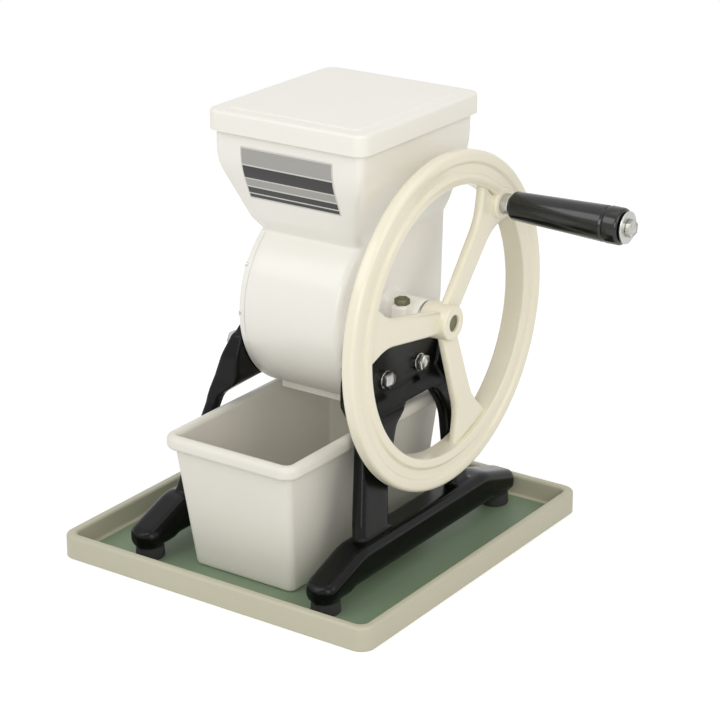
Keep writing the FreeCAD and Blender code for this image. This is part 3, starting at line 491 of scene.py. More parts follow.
class Workshop:
    """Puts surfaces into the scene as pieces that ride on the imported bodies."""

    @staticmethod
    def piece(name: str, surface: Surface, finish: Finish | BandedPlate, body: str, slot: str,
              nodes: Sequence[str] = (), crease: float = 38.0) -> bpy.types.Object:
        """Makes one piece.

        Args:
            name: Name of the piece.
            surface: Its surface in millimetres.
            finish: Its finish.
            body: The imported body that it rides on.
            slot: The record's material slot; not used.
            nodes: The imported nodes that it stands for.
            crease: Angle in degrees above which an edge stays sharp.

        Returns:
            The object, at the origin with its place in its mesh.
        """
        mesh = surface.mesh(name)
        mesh.validate()
        merge = bmesh.new()
        merge.from_mesh(mesh)
        bmesh.ops.remove_doubles(merge, verts=merge.verts, dist=1e-7)
        merge.to_mesh(mesh)
        merge.free()
        mesh.shade_smooth()
        mesh.set_sharp_from_angle(angle=np.radians(crease))
        made = bpy.data.objects.new(name, mesh)
        bpy.context.scene.collection.objects.link(made)
        mesh.materials.append(finish.build())
        if nodes:
            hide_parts(*nodes)
        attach(made, body)
        LOG.info("%s: %d faces on %s", name, len(mesh.polygons), body)
        return made

    @staticmethod
    def fuse(made: bpy.types.Object, voxel: float, passes: int) -> None:
        """Fuses a piece's overlapping shells into one skin, and softens where they meet.

        Args:
            made: The piece.
            voxel: Size of the remesh's cells in millimetres.
            passes: Smoothing passes after it.
        """
        remesh = made.modifiers.new("fuse", "REMESH")
        remesh.mode = "VOXEL"
        remesh.voxel_size = voxel * METRES
        remesh.use_smooth_shade = True
        soften = made.modifiers.new("soften", "SMOOTH")
        soften.iterations = passes
        soften.factor = 0.5
        depsgraph = bpy.context.evaluated_depsgraph_get()
        baked = bpy.data.meshes.new_from_object(made.evaluated_get(depsgraph))
        made.modifiers.clear()
        made.data = baked
        baked.shade_smooth()
        LOG.info("%s: fused to %d faces", made.name, len(baked.polygons))

    @staticmethod
    def dress(frame: dict, finish: Finish | BandedPlate, *nodes: str) -> None:
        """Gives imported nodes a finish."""
        for name in nodes:
            node = frame["nodes"][name]
            made = finish.build()
            if not node.material_slots:
                node.data.materials.append(made)
            for slot in node.material_slots:
                slot.material = made
            LOG.info("%s: dressed with %s", name, finish.name)


@dataclass
class Tray:
    """The moulded tray: a thin darker floor inside a broad, softly turned rim."""

    half_wide: float = 150.0
    half_deep: float = 158.5
    high: float = 20.0
    floor: float = 3.0
    rim: float = 8.0
    corner: float = 12.0

    def build(self) -> None:
        """Builds the raised rim as a ring of loops round the tray, and the darker floor inside it."""
        seam = self.rim + 4.0
        profile = arced([(0.6, 0.0), (0.0, 0.6, 0.4), (0.0, self.high, 2.6), (self.rim - 0.3, self.high, 2.6),
                         (self.rim + 0.6, self.floor, 3.2), (seam, self.floor)], 6, closed=False)
        ring = np.vstack([spread(profile, 3.0), [[seam, 0.0]]])
        loops = [self._loop(inset, height) for inset, height in ring]
        Workshop.piece("tray_rim", loft(np.array(loops), wrap=True), TRAY_RIM, "base", "tray_plastic",
                       ["tray"])
        sheet = [self._loop(seam, height) for height in (0.0, self.floor)]
        Workshop.piece("tray_floor", loft(np.array(sheet), True, True), TRAY_FLOOR, "base", "tray_plastic",
                       ["tray"])

    def _loop(self, inset: float, height: float) -> np.ndarray:
        """One loop of the tray, an inset in from its outer wall."""
        return level(rectangle(-self.half_wide + inset, self.half_wide - inset, -self.half_deep + inset,
                               self.half_deep - inset, max(self.corner - 0.62 * inset, 5.0), 14), height)


@dataclass
class Container:
    """The tapered tub that catches the ice: thin walls and a thick rolled rim."""

    half: float = 48.5
    front: float = -112.0
    rear: float = 74.0
    bottom: float = 3.0
    rim_low: float = 107.0
    rim_high: float = 118.5
    side_draft: float = 8.0
    front_draft: float = 14.0
    corner: float = 6.0
    corner_growth: float = 1.1
    wall: float = 2.6
    lip: float = 7.2

    def build(self) -> None:
        """Builds the tub as loops up its outside, over its rim and down its inside."""
        rim = arced([(0.0, self.rim_low), (self.lip, self.rim_low, 3.6), (self.lip, self.rim_high, 5.0),
                     (-self.wall, self.rim_high, 4.2), (-self.wall, self.rim_low - 4.0)], 7, closed=False)
        outside = [(0.0, h) for h in np.linspace(self.bottom + 2.4, self.rim_low, 14)[:-1]]
        foot = [(-3.0, self.bottom), (-1.4, self.bottom + 0.25), (-0.45, self.bottom + 1.0)]
        inside = [(-self.wall, h) for h in np.linspace(self.rim_low - 5.0, self.bottom + 6.5, 14)]
        sole = [(-self.wall - 0.7, self.bottom + 4.4), (-self.wall - 2.2, self.bottom + 3.3),
                (-self.wall - 4.5, self.bottom + 3.0)]
        loops = [self._loop(out, height) for out, height in foot + outside + rim.tolist() + inside + sole]
        Workshop.piece("container_tub", loft(np.array(loops), True, True), GREY_TUB, "container",
                       "container_plastic", ["container"], crease=60.0)

    def _loop(self, out: float, height: float) -> np.ndarray:
        """One loop of the tub: its sides lean out in proportion to the height."""
        lean = np.clip((height - self.bottom) / (self.rim_low - self.bottom), 0.0, 1.0)
        side, ahead = self.side_draft * lean + out, self.front_draft * lean + out
        return level(rectangle(-self.half - side, self.half + side, self.front - ahead, self.rear + ahead,
                               max(self.corner + self.corner_growth * out, 2.0), 12), height)


@dataclass
class Lid:
    """The loose lid: a shallow cap with soft edges and a faint raised panel."""

    half_wide: float = 74.6
    front: float = -53.4
    rear: float = 114.6
    low: float = 345.8
    seat: float = 359.2
    top: float = 362.2
    wall: float = 2.5
    corner: float = 11.0
    inset: float = 13.0
    rise: float = 0.8

    def build(self) -> None:
        """Builds the lid as loops up its skirt, across its top to the panel, and back under it."""
        panel = self.top + self.rise
        skirt = arced([(0.0, self.low), (0.0, self.top, 2.4), (self.inset - 0.7, self.top, 0.8),
                       (self.inset + 0.7, panel, 0.8), (self.inset + 6.0, panel)], 6, closed=False)
        under = arced([(self.inset + 6.0, self.seat), (self.wall, self.seat, 1.2), (self.wall, self.low)], 4,
                      closed=False)
        outside = [self._loop(i, h) for i, h in spread(skirt, 4.0)]
        inside = [self._loop(i, h) for i, h in spread(under, 4.0)]
        top = loft(np.array(outside), False, True)
        bottom = loft(np.array(inside), True, False)
        edge = loft(np.array([inside[-1], outside[0]]))
        Workshop.piece("lid_cap", top.joined(bottom, edge), IVORY_LID, "lid", "lid_plastic", ["lid"],
                       crease=50.0)

    def _loop(self, inset: float, height: float) -> np.ndarray:
        """One loop of the lid, an inset in from its skirt."""
        return level(rectangle(-self.half_wide + inset, self.half_wide - inset, self.front + inset,
                               self.rear - inset, max(self.corner - 0.6 * inset, 4.0), 10), height)


@dataclass
class Casing:
    """The drum and hopper casting with its bearing boss, its pinch lug and the end cover at its left."""

    drum: float = 76.6
    drum_half: float = 47.4
    chamber: float = 69.0
    end_wall: float = 6.0
    top: float = 359.2
    wall: float = 4.0
    boss: float = 14.5
    boss_end: float = 80.0
    cover_boss_end: float = 58.0
    cover_top: float = 260.4
    neck: float = -19.5
    neck_top: float = 261.0
    throat: float = 271.5
    shoulder: float = 320.0
    hopper_front: float = -48.4
    hopper_rear: float = 109.6
    hopper_half: float = 69.6
    hopper_middle: float = 31.2

    def half(self, z: np.ndarray, less: float = 0.0) -> np.ndarray:
        """Half the casing's width at a height, less a wall."""
        line = arced([(0.0, self.drum_half), (self.neck_top, self.drum_half), (self.throat, 52.5, 28.0),
                      (self.shoulder, self.hopper_half, 60.0), (self.top + 60.8, self.hopper_half)], 10,
                     closed=False)
        return np.interp(z, line[:, 0], line[:, 1]) - less

    def outline(self, front: float = 0.0, wall: float = 0.0, drum: float = 0.0) -> np.ndarray:
        """The side profile (y, z) from the hopper's front rim under the drum to its rear rim.

        Args:
            front: How far the neck is moved in.
            wall: How far the hopper's walls are moved in.
            drum: How far the drum's circle is moved in.

        Returns:
            Points that run down the front, round the drum's circle from the neck to the rear, and up.
        """
        radius = self.drum - drum
        neck_y = self.neck + front
        neck_angle = np.arccos((neck_y - AXIS_Y) / radius)
        neck_z = AXIS_Z + radius * np.sin(neck_angle)
        hopper_y = self.hopper_front + wall
        upper = arced([(hopper_y, self.top), (hopper_y, self.shoulder, 60.0),
                       (-28.0 + front, self.throat, 28.0),
                       (neck_y, max(neck_z + 0.8, self.neck_top), 3.0), (neck_y - 0.4, neck_z - 0.2)], 12,
                      closed=False)
        sweep = np.linspace(neck_angle + 0.012, 2 * np.pi, 110)
        arc = np.column_stack([AXIS_Y + radius * np.cos(sweep), AXIS_Z + radius * np.sin(sweep)])
        rear = np.array([[AXIS_Y + radius - 0.02, AXIS_Z + 0.5], [self.hopper_rear - wall, self.top]])
        return np.vstack([spread(upper, 4.0), arc, spread(rear, 4.0)])

    def skin(self, line: np.ndarray, half: Callable[[np.ndarray], np.ndarray], edge: float,
             across: int = 14) -> np.ndarray:
        """A skin round a side profile, from the middle of its left face over its edge to the right.

        A column of points belongs to one point P of the profile. On the front skin the point stays at P and
        moves across. Over an edge of radius R it moves in by R(1 - cos a) while the width grows to
        R(1 - sin a) short of the full half. On the side face it runs from there to the spine, which is the
        casing's middle line at the same height and the drum's axis below. The left is the right mirrored.

        Args:
            line: The side profile (y, z).
            half: The half width at a height.
            edge: Radius of the edges.
            across: Steps across the front skin.

        Returns:
            Points by row across and column along the profile.
        """
        along = np.gradient(line, axis=0)
        along /= np.linalg.norm(along, axis=1)[:, None]
        inward = np.column_stack([-along[:, 1], along[:, 0]])
        height = np.maximum(line[:, 1], AXIS_Z)
        rise = np.clip((height - AXIS_Z) / (self.top - AXIS_Z), 0, 1)
        spine = np.column_stack([AXIS_Y + (self.hopper_middle - AXIS_Y) * rise, height])
        right = []
        for turn in np.linspace(0, np.pi / 2, 7):
            flat = line + inward * edge * (1 - np.cos(turn))
            right.append(np.column_stack([half(flat[:, 1]) - edge * (1 - np.sin(turn)), flat]))
        start = line + inward * edge
        for share in np.linspace(0.0, 1.0, 15)[1:]:
            flat = start + (spine - start) * share
            right.append(np.column_stack([half(flat[:, 1]), flat]))
        left = [row * np.array([-1.0, 1.0, 1.0]) for row in right[::-1]]
        middle = [np.column_stack([share * (half(line[:, 1]) - edge), line])
                  for share in np.linspace(-1, 1, across + 1)[1:-1]]
        return np.array(left + middle + right)

    def build(self) -> None:
        """Builds the casting, with its hollow, boss, lug and blade seat, and the end cover."""
        outer_line = self.outline()
        inner_line = self.outline(7.0, self.wall, self.drum - self.chamber)
        outer = self.skin(outer_line, self.half, 5.5)
        inner = self.skin(inner_line, self._inner_half, 2.5)
        for rows in (outer, inner):
            rows[:, [0, -1], 2] = self.top
        shell = Surface(outer.reshape(-1, 3), quads(*outer.shape[:2], wrap_columns=False)[:, ::-1].tolist())
        hollow = Surface(inner.reshape(-1, 3), quads(*inner.shape[:2], wrap_columns=False).tolist())
        rim = loft(np.array([np.vstack([skin[:, 0], skin[::-1, -1]]) for skin in (inner, outer)]))
        Workshop.piece("casing_shell", shell.joined(hollow, rim), IVORY, "base", "ivory_casting", ["casing"],
                       crease=48.0)
        self._bosses()
        self._cover(outer_line)

    def _inner_half(self, z: np.ndarray) -> np.ndarray:
        """Half width of the hollow: the hopper's walls above, the chamber below."""
        return np.where(z > self.neck_top + 1.0, self.half(z, self.wall), self.drum_half - self.end_wall)

    def _bosses(self) -> None:
        """The bearing boss with the lug that its pinch screw closes, and the seat under the blade."""
        start = self.drum_half - 1.0
        profile = arced([(start, self.boss + 6.0), (self.drum_half + 0.2, self.boss + 4.5, 0.5),
                         (self.drum_half + 3.0, self.boss, 4.0), (self.boss_end, self.boss, 1.6),
                         (self.boss_end, 11.0, 0.4), (start, 11.0)], 5)
        boss = turned(profile, around=72, closed=True)
        lug_line = arced([(6.0, 185.4, 3.0), (19.5, 185.4, 1.0), (22.0, 190.0, 1.0), (22.0, 206.0, 1.0),
                          (19.5, 211.0, 1.0), (6.0, 211.0, 3.0)], 5)
        lug = slab(lug_line, round_levels(60.0, 74.0, 2.2))
        across = np.linspace(40.0, -3.0, 12)
        under = AXIS_Z - np.sqrt((self.drum - 2.0) ** 2 - (across - AXIS_Y) ** 2)
        seat_line = np.vstack([[[-3.0, 122.6], [40.0, 122.6]], np.column_stack([across, under])])
        seat = slab(seat_line, round_levels(-40.5, 40.5, 1.2))
        Workshop.piece("casing_boss", boss.joined(lug), IVORY, "base", "ivory_casting", ["casing"])
        Workshop.piece("blade_seat", seat, IVORY, "base", "ivory_casting", ["casing"])

    def _cover(self, line: np.ndarray) -> None:
        """The left end cover: the casing's outline below the neck with a rounded outer edge and a boss."""
        low = line[line[:, 1] <= self.cover_top]
        outline = np.vstack([low, [[105.6, self.cover_top], [-18.0, self.cover_top]]])
        outer_face = -self.drum_half - 0.05
        plate = slab(outline, round_levels(outer_face, outer_face + self.end_wall, 1.5, 5, last=False))
        profile = arced([(-self.cover_boss_end, 8.4), (-self.cover_boss_end, self.boss, 1.6),
                         (-self.drum_half - 3.0, self.boss, 4.0), (-self.drum_half, self.boss + 4.5, 0.5),
                         (-self.drum_half + 1.0, self.boss + 6.0), (-self.drum_half + 1.0, 8.4)], 5)
        boss = turned(profile, around=72, closed=True)
        Workshop.piece("end_cover_plate", plate.joined(boss), IVORY, "base", "ivory_casting", ["end_cover"],
                       crease=48.0)


@dataclass
class NamePlate:
    """The thin printed plate on the hopper's front, with plain bands where words would be."""

    half: float = 43.4
    low: float = 291.3
    high: float = 335.7
    thick: float = 0.45
    rows: int = 40
    columns: int = 30

    def build(self, casing: Casing) -> None:
        """Builds the plate as a strip that follows the hopper's front, lifted by its thickness."""
        front = casing.outline()[:40]
        order = np.argsort(front[:, 1])
        z = np.linspace(self.low, self.high, self.rows)
        y = np.interp(z, front[order, 1], front[order, 0])
        x = np.linspace(-self.half, self.half, self.columns)
        outer = np.stack(np.broadcast_arrays(x[None, :], (y - self.thick)[:, None], z[:, None]), axis=-1)
        inner = outer + np.array([0.0, self.thick + 0.3, 0.0])
        faces = quads(self.rows, self.columns, wrap_columns=False)
        top = Surface(outer.reshape(-1, 3), faces.tolist())
        back = Surface(inner.reshape(-1, 3), faces[:, ::-1].tolist())
        edge = loft(np.array([np.vstack([face[0], face[1:, -1], face[-1, -2::-1], face[-2:0:-1, 0]])
                              for face in (inner, outer)]))
        Workshop.piece("front_plate", top.joined(back, edge), BandedPlate(), "base", "plate_print",
                       ["nameplate"])


@dataclass
class Flywheel:
    """The spoked flywheel: a beaded rim, three flared spokes, a hub and the handle's boss."""

    radius: float = 137.0
    inner: float = 110.0
    front: float = 105.0
    back: float = 86.0
    spoke_turn: float = 50.0
    hub: float = 14.5
    hub_back: float = 82.0
    hub_front: float = 107.0
    bore: float = 8.05
    recess: float = 6.8
    screw_bore: float = 4.2

    def build(self) -> None:
        """Builds the rim and hub as turned surfaces and the spokes as plates with rounded edges."""
        rim = arced([(self.back + 0.4, self.inner - 0.8, 2.0), (self.front - 0.4, self.inner, 1.8),
                     (self.front, self.inner + 7.0, 2.4), (self.front - 2.6, self.inner + 9.0, 1.2),
                     (self.front - 2.6, self.radius - 11.0, 1.2), (self.front, self.radius - 9.0, 2.4),
                     (self.front, self.radius, 3.6), (94.5, self.radius, 2.8),
                     (self.back, self.inner + 2.0, 2.0)][::-1], 5)
        hub = arced([(self.hub_back, self.bore), (self.hub_back, self.hub, 1.5), (90.0, self.hub + 0.4, 1.0),
                     (self.hub_front, self.hub - 0.3, 2.4), (self.hub_front, self.recess, 0.8),
                     (100.0, self.recess), (100.0, self.screw_bore), (97.0, self.screw_bore),
                     (97.0, self.bore)], 5)
        spokes = [self._spoke(np.radians(self.spoke_turn + 120.0 * k)) for k in range(3)]
        boss = slab(disc(*crank_pin(), 13.0), round_levels(90.5, self.front, 2.0))
        ring, centre = turned(rim, around=240, closed=True), turned(hub, around=72, closed=True)
        Workshop.piece("flywheel_casting", ring.joined(centre, boss, *spokes), CREAM, "crank", "wheel_paint",
                       ["flywheel"], crease=50.0)

    def _spoke(self, angle: float) -> Surface:
        """One spoke: an outline that widens into the rim by arcs, turned to its angle."""
        line = arced([(9.5, -9.6), (84.0, -11.6, 40.0), (109.6, -26.4), (109.6, 26.4), (84.0, 11.6, 40.0),
                      (9.5, 9.6)], 8)
        c, s = np.cos(angle), np.sin(angle)
        y, z = line.T
        spun = np.column_stack([AXIS_Y + y * c - z * s, AXIS_Z + y * s + z * c])
        return slab(spun, round_levels(93.0, 101.0, 3.4))


@dataclass
class Handle:
    """The turned black grip with its bright collar, washer and nut."""

    start: float = 113.6
    long: float = 100.0
    small: float = 11.6
    large: float = 15.0
    bore: float = 4.1
    spindle: float = 4.0

    def build(self) -> None:
        """Builds each piece as a turned profile on the spindle's axis."""
        y, z = crank_pin()
        end = self.start + self.long
        grip = arced([(self.start, self.bore), (self.start, self.small, 2.4), (self.start + 55.0, 13.6, 300.0),
                      (end - 16.2, self.large - 0.3, 1.0), (end - 14.4, self.large - 1.3, 0.8),
                      (end - 12.6, self.large, 1.0), (end, self.large - 0.2, 3.0), (end, self.bore)], 6)
        collar, washer = [arced([(a, self.spindle), (a, r, soft), (b, r, soft), (b, self.spindle)], 4)
                          for a, b, r, soft in ((105.0, 112.0, 8.6, 0.8), (215.2, 216.8, 13.0, 0.5))]
        for name, profile, around, finish, body, slot, node in (
                ("grip_turning", grip, 96, GRIP_BLACK, "grip", "grip_plastic", "grip"),
                ("collar_turning", collar, 64, ZINC, "crank", "plated_screw", "handle_collar"),
                ("grip_end_washer", washer, 64, ZINC, "crank", "plated_screw", "grip_washer")):
            Workshop.piece(name, turned(profile, y, z, around, closed=True), finish, body, slot, [node])
        nut = slab(hexagon(y, z, 13.0, 0.3), [(216.8, 0.6), (217.4, 0.0), (221.0, 0.0), (221.8, 1.1)])
        Workshop.piece("spindle_hex_nut", nut, ZINC, "crank", "plated_screw", ["spindle_nut"])


@dataclass
class SideFrame:
    """One splayed side of the stand: an upper plate, two legs and a foot beam, fused in one casting.

    The edge lines of the two sides differ a little, as their edges in the photograph do: arch and shin
    are the front leg's rear and front edge, cheek is the plate's front edge, crown the arch's height.
    """

    side: float
    arch: Corners
    shin: Corners
    crown: float
    cheek: float
    rib_top: float
    beam_x: float = 87.0
    beam_half: float = 14.0
    beam_front: float = -135.0
    beam_rear: float = 142.0
    knee_z: float = 119.0
    foot_z: float = 20.0

    def section(self, z: np.ndarray, ribbed: bool) -> tuple[np.ndarray, np.ndarray]:
        """Inner and outer face (x) at a height, of the leaning plate or of a rib that stiffens its edge."""
        inner = arced([(200.0, 47.6), (138.5, 47.6, 8.0), (124.5, 66.0, 8.0), (20.0, 84.0)], 6, closed=False)
        outer = arced([(200.0, 58.0), (138.5, 58.0, 3.0), (127.5, 77.0, 8.0), (20.0, 97.0)], 6, closed=False)
        if ribbed:
            outer = arced([(200.0, 58.0), (179.0, 58.0, 10.0), (128.0, 76.0, 30.0), (20.0, 97.0)], 6,
                          closed=False)
        return (np.interp(z, inner[::-1, 0], inner[::-1, 1]), np.interp(z, outer[::-1, 0], outer[::-1, 1]))

    def ribbon(self, top: float, bottom: float, front: Corners, rear: Corners, edge: float = 3.0,
               ribbed: bool = False) -> Surface:
        """A strip of the plate between two edge lines.

        At each height the section is a round-cornered rectangle between the edge lines in y and the
        plate's faces in x.

        Args:
            top: Height of its upper end.
            bottom: Height of its lower end.
            front: Front edge as corners (z, y, radius), from above.
            rear: Rear edge as corners (z, y, radius), from above.
            edge: Radius of the section's corners.
            ribbed: Whether the strip's outer face stands out from the plate as a rib.

        Returns:
            The strip, closed at both ends.
        """
        z = np.linspace(bottom, top, int(abs(top - bottom) / 2.0) + 2)
        front_line = arced(front, 8, closed=False)[::-1]
        rear_line = arced(rear, 8, closed=False)[::-1]
        y0 = np.interp(z, front_line[:, 0], front_line[:, 1])
        y1 = np.interp(z, rear_line[:, 0], rear_line[:, 1])
        x0, x1 = self.section(z, ribbed)
        low, high = (x0, x1) if self.side > 0 else (-x1, -x0)
        loops = [level(rectangle(a, b, c, d, edge, 4), h) for a, b, c, d, h in zip(low, high, y0, y1, z)]
        return loft(np.array(loops), True, True)

    def beam(self) -> Surface:
        """The foot beam: rounded sections along Y between a top line and an underside line."""
        ahead, behind = self.beam_front, self.beam_rear
        y = np.linspace(ahead, behind, 93)
        top = arced([(ahead, 25.0), (-131.0, 29.0, 6.0), (-86.0, 45.0, 40.0), (92.0, 45.0, 40.0),
                     (138.0, 31.0, 8.0), (behind, 26.0)], 8, closed=False)
        bottom = arced([(ahead, 13.6), (-104.0, 13.6), (-98.0, 16.0, 6.0), (102.0, 16.0, 6.0), (108.0, 13.6),
                        (behind, 13.6)], 5, closed=False)
        high = np.interp(y, top[:, 0], top[:, 1])
        low = np.interp(y, bottom[:, 0], bottom[:, 1])
        ends = np.minimum(y - ahead, behind - y)
        pinch = np.sqrt(np.clip(1 - (1 - np.clip(ends / 9.0, 0.0, 1.0)) ** 2, 0.02, 1.0))
        loops = []
        for at, a, b, k in zip(y, low, high, pinch):
            middle, half = self.side * self.beam_x, self.beam_half * k
            loop = rectangle(middle - half, middle + half, a, b, 7.0 * k, 5)
            loops.append(np.column_stack([loop[:, 0], np.full(len(loop), at), loop[:, 1]]))
        rows = np.array(loops)[:, ::-1]
        return loft(rows, True, True)

    def build(self) -> None:
        """Builds the strips and the beam and fuses them."""
        name = "right" if self.side > 0 else "left"
        cheek = [(176.0, self.cheek + 7.2, 5.0), (160.0, self.cheek + 0.8, 20.0), (140.0, self.cheek, 20.0),
                 (self.knee_z, -57.5)]
        behind = self.cheek + 7.8
        heights, edges = zip(*[corner[:2] for corner in self.arch[::-1]])
        root = min(-24.0, float(np.interp(self.knee_z, heights, edges)) - 3.0)
        plate = self.ribbon(183.0, self.crown, [(183.5, -36.0), *cheek],
                            [(183.5, 90.0), (173.0, 90.0, 12.0), (115.0, 80.0)])
        rib = self.ribbon(self.rib_top, self.knee_z, [(178.0, behind + 1.2), *cheek],
                          [(178.0, behind + 4.5), (170.0, behind), (158.0, behind), (140.0, behind + 4.0),
                           (self.knee_z, root)], 2.0, True)
        rear_rib = self.ribbon(178.0, self.knee_z, [(178.0, 86.0), (158.0, 82.0, 20.0), (140.0, 76.0, 20.0),
                                                    (self.knee_z, 60.0)],
                               [(178.0, 90.0), (173.0, 90.0, 12.0), (self.knee_z, 80.6)], 2.0, True)
        front = self.ribbon(136.0, self.foot_z, self.shin, self.arch, 4.0)
        rear = self.ribbon(140.0, self.foot_z, [(142.0, 48.0), (124.0, 51.0, 8.0), (107.0, 60.0, 30.0),
                                                (self.foot_z, 52.0)],
                           [(142.0, 84.7), (115.0, 80.0, 40.0), (self.foot_z, 76.0)], 4.0)
        strips = plate.joined(rib, rear_rib, front, rear, self.beam())
        made = Workshop.piece("side_frame_" + name, strips, BLACK, "base", "black_casting", ["stand_" + name])
        Workshop.fuse(made, voxel=1.25, passes=6)


@dataclass
class Fasteners:
    """Bolts, washers, screws and feet, by their places in Y and Z, in Y alone, and in X and Y."""

    frame_bolts: Sequence[tuple[float, float]] = ((-37.7, 169.3), (2.4, 148.0), (51.4, 148.0), (79.9, 169.3))
    feet: Sequence[float] = (-121.0, 126.0)
    foot_x: float = 87.0
    pinch_at: tuple[float, float] = (67.0, 12.4)

    def build(self) -> None:
        """Builds the hex bolts and washers of both side frames, the pinch screw and the rubber feet."""
        heads = [self._hex_head(y, z, 0.35 * k) for k, (y, z) in enumerate(self.frame_bolts)]
        rings = [self._washer(y, z) for y, z in self.frame_bolts]
        for name, side in (("right", 1.0), ("left", -1.0)):
            for kind, node, parts in (("hex_bolts_", "frame_bolts_", heads),
                                      ("bolt_washers_", "frame_washers_", rings)):
                whole = parts[0].joined(*parts[1:])
                whole = whole if side > 0 else self._mirrored(whole)
                Workshop.piece(kind + name, whole, ZINC, "base", "plated_screw", [node + name])
        self._pinch_screw()
        pads = [self._foot(x, y) for x in (-self.foot_x, self.foot_x) for y in self.feet]
        Workshop.piece("rubber_feet", pads[0].joined(*pads[1:]), RUBBER, "base", "foot_rubber",
                       ["stand_feet"])

    def _hex_head(self, y: float, z: float, turn: float) -> Surface:
        """A hex head with a chamfered crown over its shank, on the right side."""
        head = slab(hexagon(y, z, 13.0, turn), [(59.5, 0.0), (63.6, 0.0), (64.3, 0.5), (64.8, 1.4)])
        shank = slab(disc(y, z, 4.0, 24), [(43.0, 0.4), (43.4, 0.0), (59.6, 0.0)])
        return head.joined(shank)

    def _washer(self, y: float, z: float) -> Surface:
        """A flat washer with softened edges, on the right side."""
        corners = [(58.0, 4.1), (58.0, 7.5, 0.35), (59.5, 7.5, 0.35), (59.5, 4.1)]
        return turned(arced(corners, 3), y, z, 40, True)

    def _mirrored(self, surface: Surface) -> Surface:
        """The surface mirrored across X, with its faces turned back outwards."""
        return Surface(surface.points * np.array([-1.0, 1.0, 1.0]), [list(f)[::-1] for f in surface.faces])

    def _pinch_screw(self) -> None:
        """The vertical hex screw of the right bearing boss."""
        head = slab(hexagon(0.0, 0.0, 11.0, 0.5), [(211.0, 0.0), (215.0, 0.0), (215.6, 0.4), (216.0, 1.2)])
        shank = slab(disc(0.0, 0.0, 3.0, 24), [(185.0, 0.4), (185.4, 0.0), (211.2, 0.0)])
        screw = self._upright(head.joined(shank), *self.pinch_at)
        Workshop.piece("pinch_screw", screw, AGED, "base", "aged_screw", ["pinch_bolt"])

    def _foot(self, x: float, y: float) -> Surface:
        """A round rubber foot with a soft lower edge."""
        profile = arced([(3.0, 0.02), (3.0, 12.0, 1.6), (13.0, 11.4, 0.6), (13.0, 4.0), (18.0, 4.0, 0.6),
                         (18.0, 0.02)], 5, closed=False)
        return self._upright(turned(profile, 0.0, 0.0, 48), x, y)

    def _upright(self, lying: Surface, x: float, y: float) -> Surface:
        """A surface made along X, stood up along Z at a place."""
        height, across, deep = lying.points.T
        return Surface(np.column_stack([x + across, y + deep, height]), lying.faces)


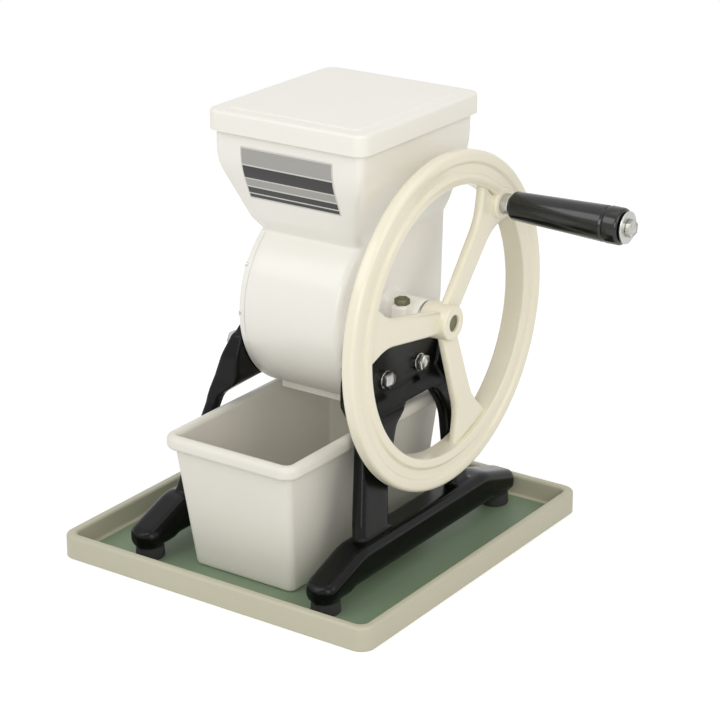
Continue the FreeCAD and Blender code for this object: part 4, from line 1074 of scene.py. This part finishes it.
@dataclass
class Studio:
    """The camera at the photograph's place, soft lamps and a pale floor.

    The place and aim are in metres, the angles in degrees, and the focal length in pixels of the picture.
    """

    azimuth: float = 34.657
    elevation: float = 20.973
    place: tuple[float, float, float] = (1.03091, -1.44010, 0.83161)
    focal: float = 2351.66
    picture: float = 720.0
    aim: tuple[float, float, float] = (0.02, 0.0, 0.17)
    surround: float = 0.6
    floor_glow: float = 0.42

    def build(self) -> None:
        """Sets the camera, the lamps, the world and the floor."""
        scene = bpy.context.scene
        scene.view_settings.view_transform = "Standard"
        lens = bpy.data.cameras.new("camera")
        lens.sensor_width = 36.0
        lens.lens = self.focal / self.picture * lens.sensor_width
        lens.clip_end = 20.0
        camera = bpy.data.objects.new("camera", lens)
        camera.location = self.place
        camera.rotation_euler = (np.radians(90.0 - self.elevation), 0.0, np.radians(self.azimuth))
        scene.collection.objects.link(camera)
        scene.camera = camera
        for name, place, size, power, tint in (
                ("key", (-0.75, -1.35, 1.55), 1.1, 8.0, (1.0, 1.0, 1.0)),
                ("side", (1.5, -0.1, 1.15), 0.9, 5.0, (1.0, 0.955, 0.87)),
                ("top", (0.1, 0.2, 1.9), 1.2, 2.5, (1.0, 1.0, 1.0)),
                ("front", (1.1, -1.7, 0.95), 1.0, 10.0, (1.0, 0.99, 0.96))):
            self._lamp(name, place, size, power, tint)
        self._world()
        self._floor()

    def _lamp(self, name: str, place: Sequence[float], size: float, power: float, tint: Colour) -> None:
        """A square soft lamp that looks at the object's middle."""
        light = bpy.data.lights.new(name, "AREA")
        light.size = size
        light.energy = power
        light.color = tint
        lamp = bpy.data.objects.new(name, light)
        lamp.location = place
        lamp.rotation_euler = (Vector(place) - Vector(self.aim)).to_track_quat("Z", "Y").to_euler()
        bpy.context.scene.collection.objects.link(lamp)

    def _world(self) -> None:
        """An even pale surrounding, white where the camera or a reflection sees it."""
        world = bpy.data.worlds.new("surround")
        wires = Wiring(world)
        back = wires.tree.nodes["Background"]
        wires.fill(back, {"Color": WHITE})
        strength = wires.add("MapRange", {"To Min": self.surround, "To Max": 1.0})
        wires.join(self._seen(wires), "Value", strength, "Value")
        wires.join(strength, "Result", back, "Strength")
        bpy.context.scene.world = world

    def _seen(self, wires: Wiring) -> bpy.types.Node:
        """One for camera, mirror and see-through rays, nought for the light that falls on things."""
        path = wires.add("LightPath")
        last, output = path, "Is Camera Ray"
        for ray in ("Is Glossy Ray", "Is Transmission Ray"):
            either = wires.add("Math", operation="MAXIMUM")
            wires.join(last, output, either, 0)
            wires.join(path, ray, either, 1)
            last, output = either, "Value"
        return last

    def _floor(self) -> None:
        """A broad pale floor that stays white to the eye but keeps the object's soft shadow."""
        angle = np.arange(64) * 2 * np.pi / 64
        circle = np.column_stack([np.cos(angle), np.sin(angle)])
        rows = np.array([level(radius * circle, -0.02) for radius in (1500.0, 400.0)])
        mesh = loft(rows, False, True).mesh("floor")
        floor = bpy.data.objects.new("floor", mesh)
        bpy.context.scene.collection.objects.link(floor)
        made = bpy.data.materials.new("pale_floor")
        wires = Wiring(made)
        shader = wires.tree.nodes["Principled BSDF"]
        wires.fill(shader, {"Base Color": (0.82, 0.82, 0.82, 1.0), "Roughness": 0.9,
                            "Specular IOR Level": 0.1, "Emission Color": WHITE})
        lift = wires.add("Math", {1: self.floor_glow}, operation="MULTIPLY")
        wires.join(self._seen(wires), "Value", lift, 0)
        wires.join(lift, "Value", shader, "Emission Strength")
        mesh.materials.append(made)


def main() -> None:
    """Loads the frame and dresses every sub-assembly."""
    logging.basicConfig(level=logging.INFO, format="%(name)s %(message)s")
    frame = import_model()
    Studio().build()
    Tray().build()
    Container().build()
    casing = Casing()
    casing.build()
    NamePlate().build(casing)
    Lid().build()
    Flywheel().build()
    Handle().build()
    SideFrame(side=1.0, crown=129.0, cheek=-47.3, rib_top=159.0,
              arch=[(134.0, 20.0), (119.0, -8.5, 16.0), (78.0, -32.0, 50.0), (20.0, -45.5)],
              shin=[(142.0, -47.3), (119.0, -56.5, 40.0), (55.0, -76.0, 20.0), (20.0, -82.0)]).build()
    SideFrame(side=-1.0, crown=135.0, cheek=-53.8, rib_top=178.0,
              arch=[(136.0, -18.0), (126.0, -42.0, 14.0), (78.0, -61.0, 50.0), (20.0, -70.0)],
              shin=[(142.0, -53.8), (119.0, -57.0, 40.0), (55.0, -80.5, 20.0), (20.0, -92.0)]).build()
    Fasteners().build()
    for finish, nodes in ((STEEL, ("drive_shaft", "rotor_pin", "wheel_key", "handle_spindle", "blade_clamp",
                                   "thrust_washer")),
                          (ZINC, ("cover_screws", "blade_screws", "end_screw")), (AGED, ("hub_screw",)),
                          (BRASS, ("bush_left", "bush_right")), (BLADE, ("blade",)),
                          (CAST_ALLOY, ("rotor",))):
        Workshop.dress(frame, finish, *nodes)


if __name__ == "__main__":
    main()
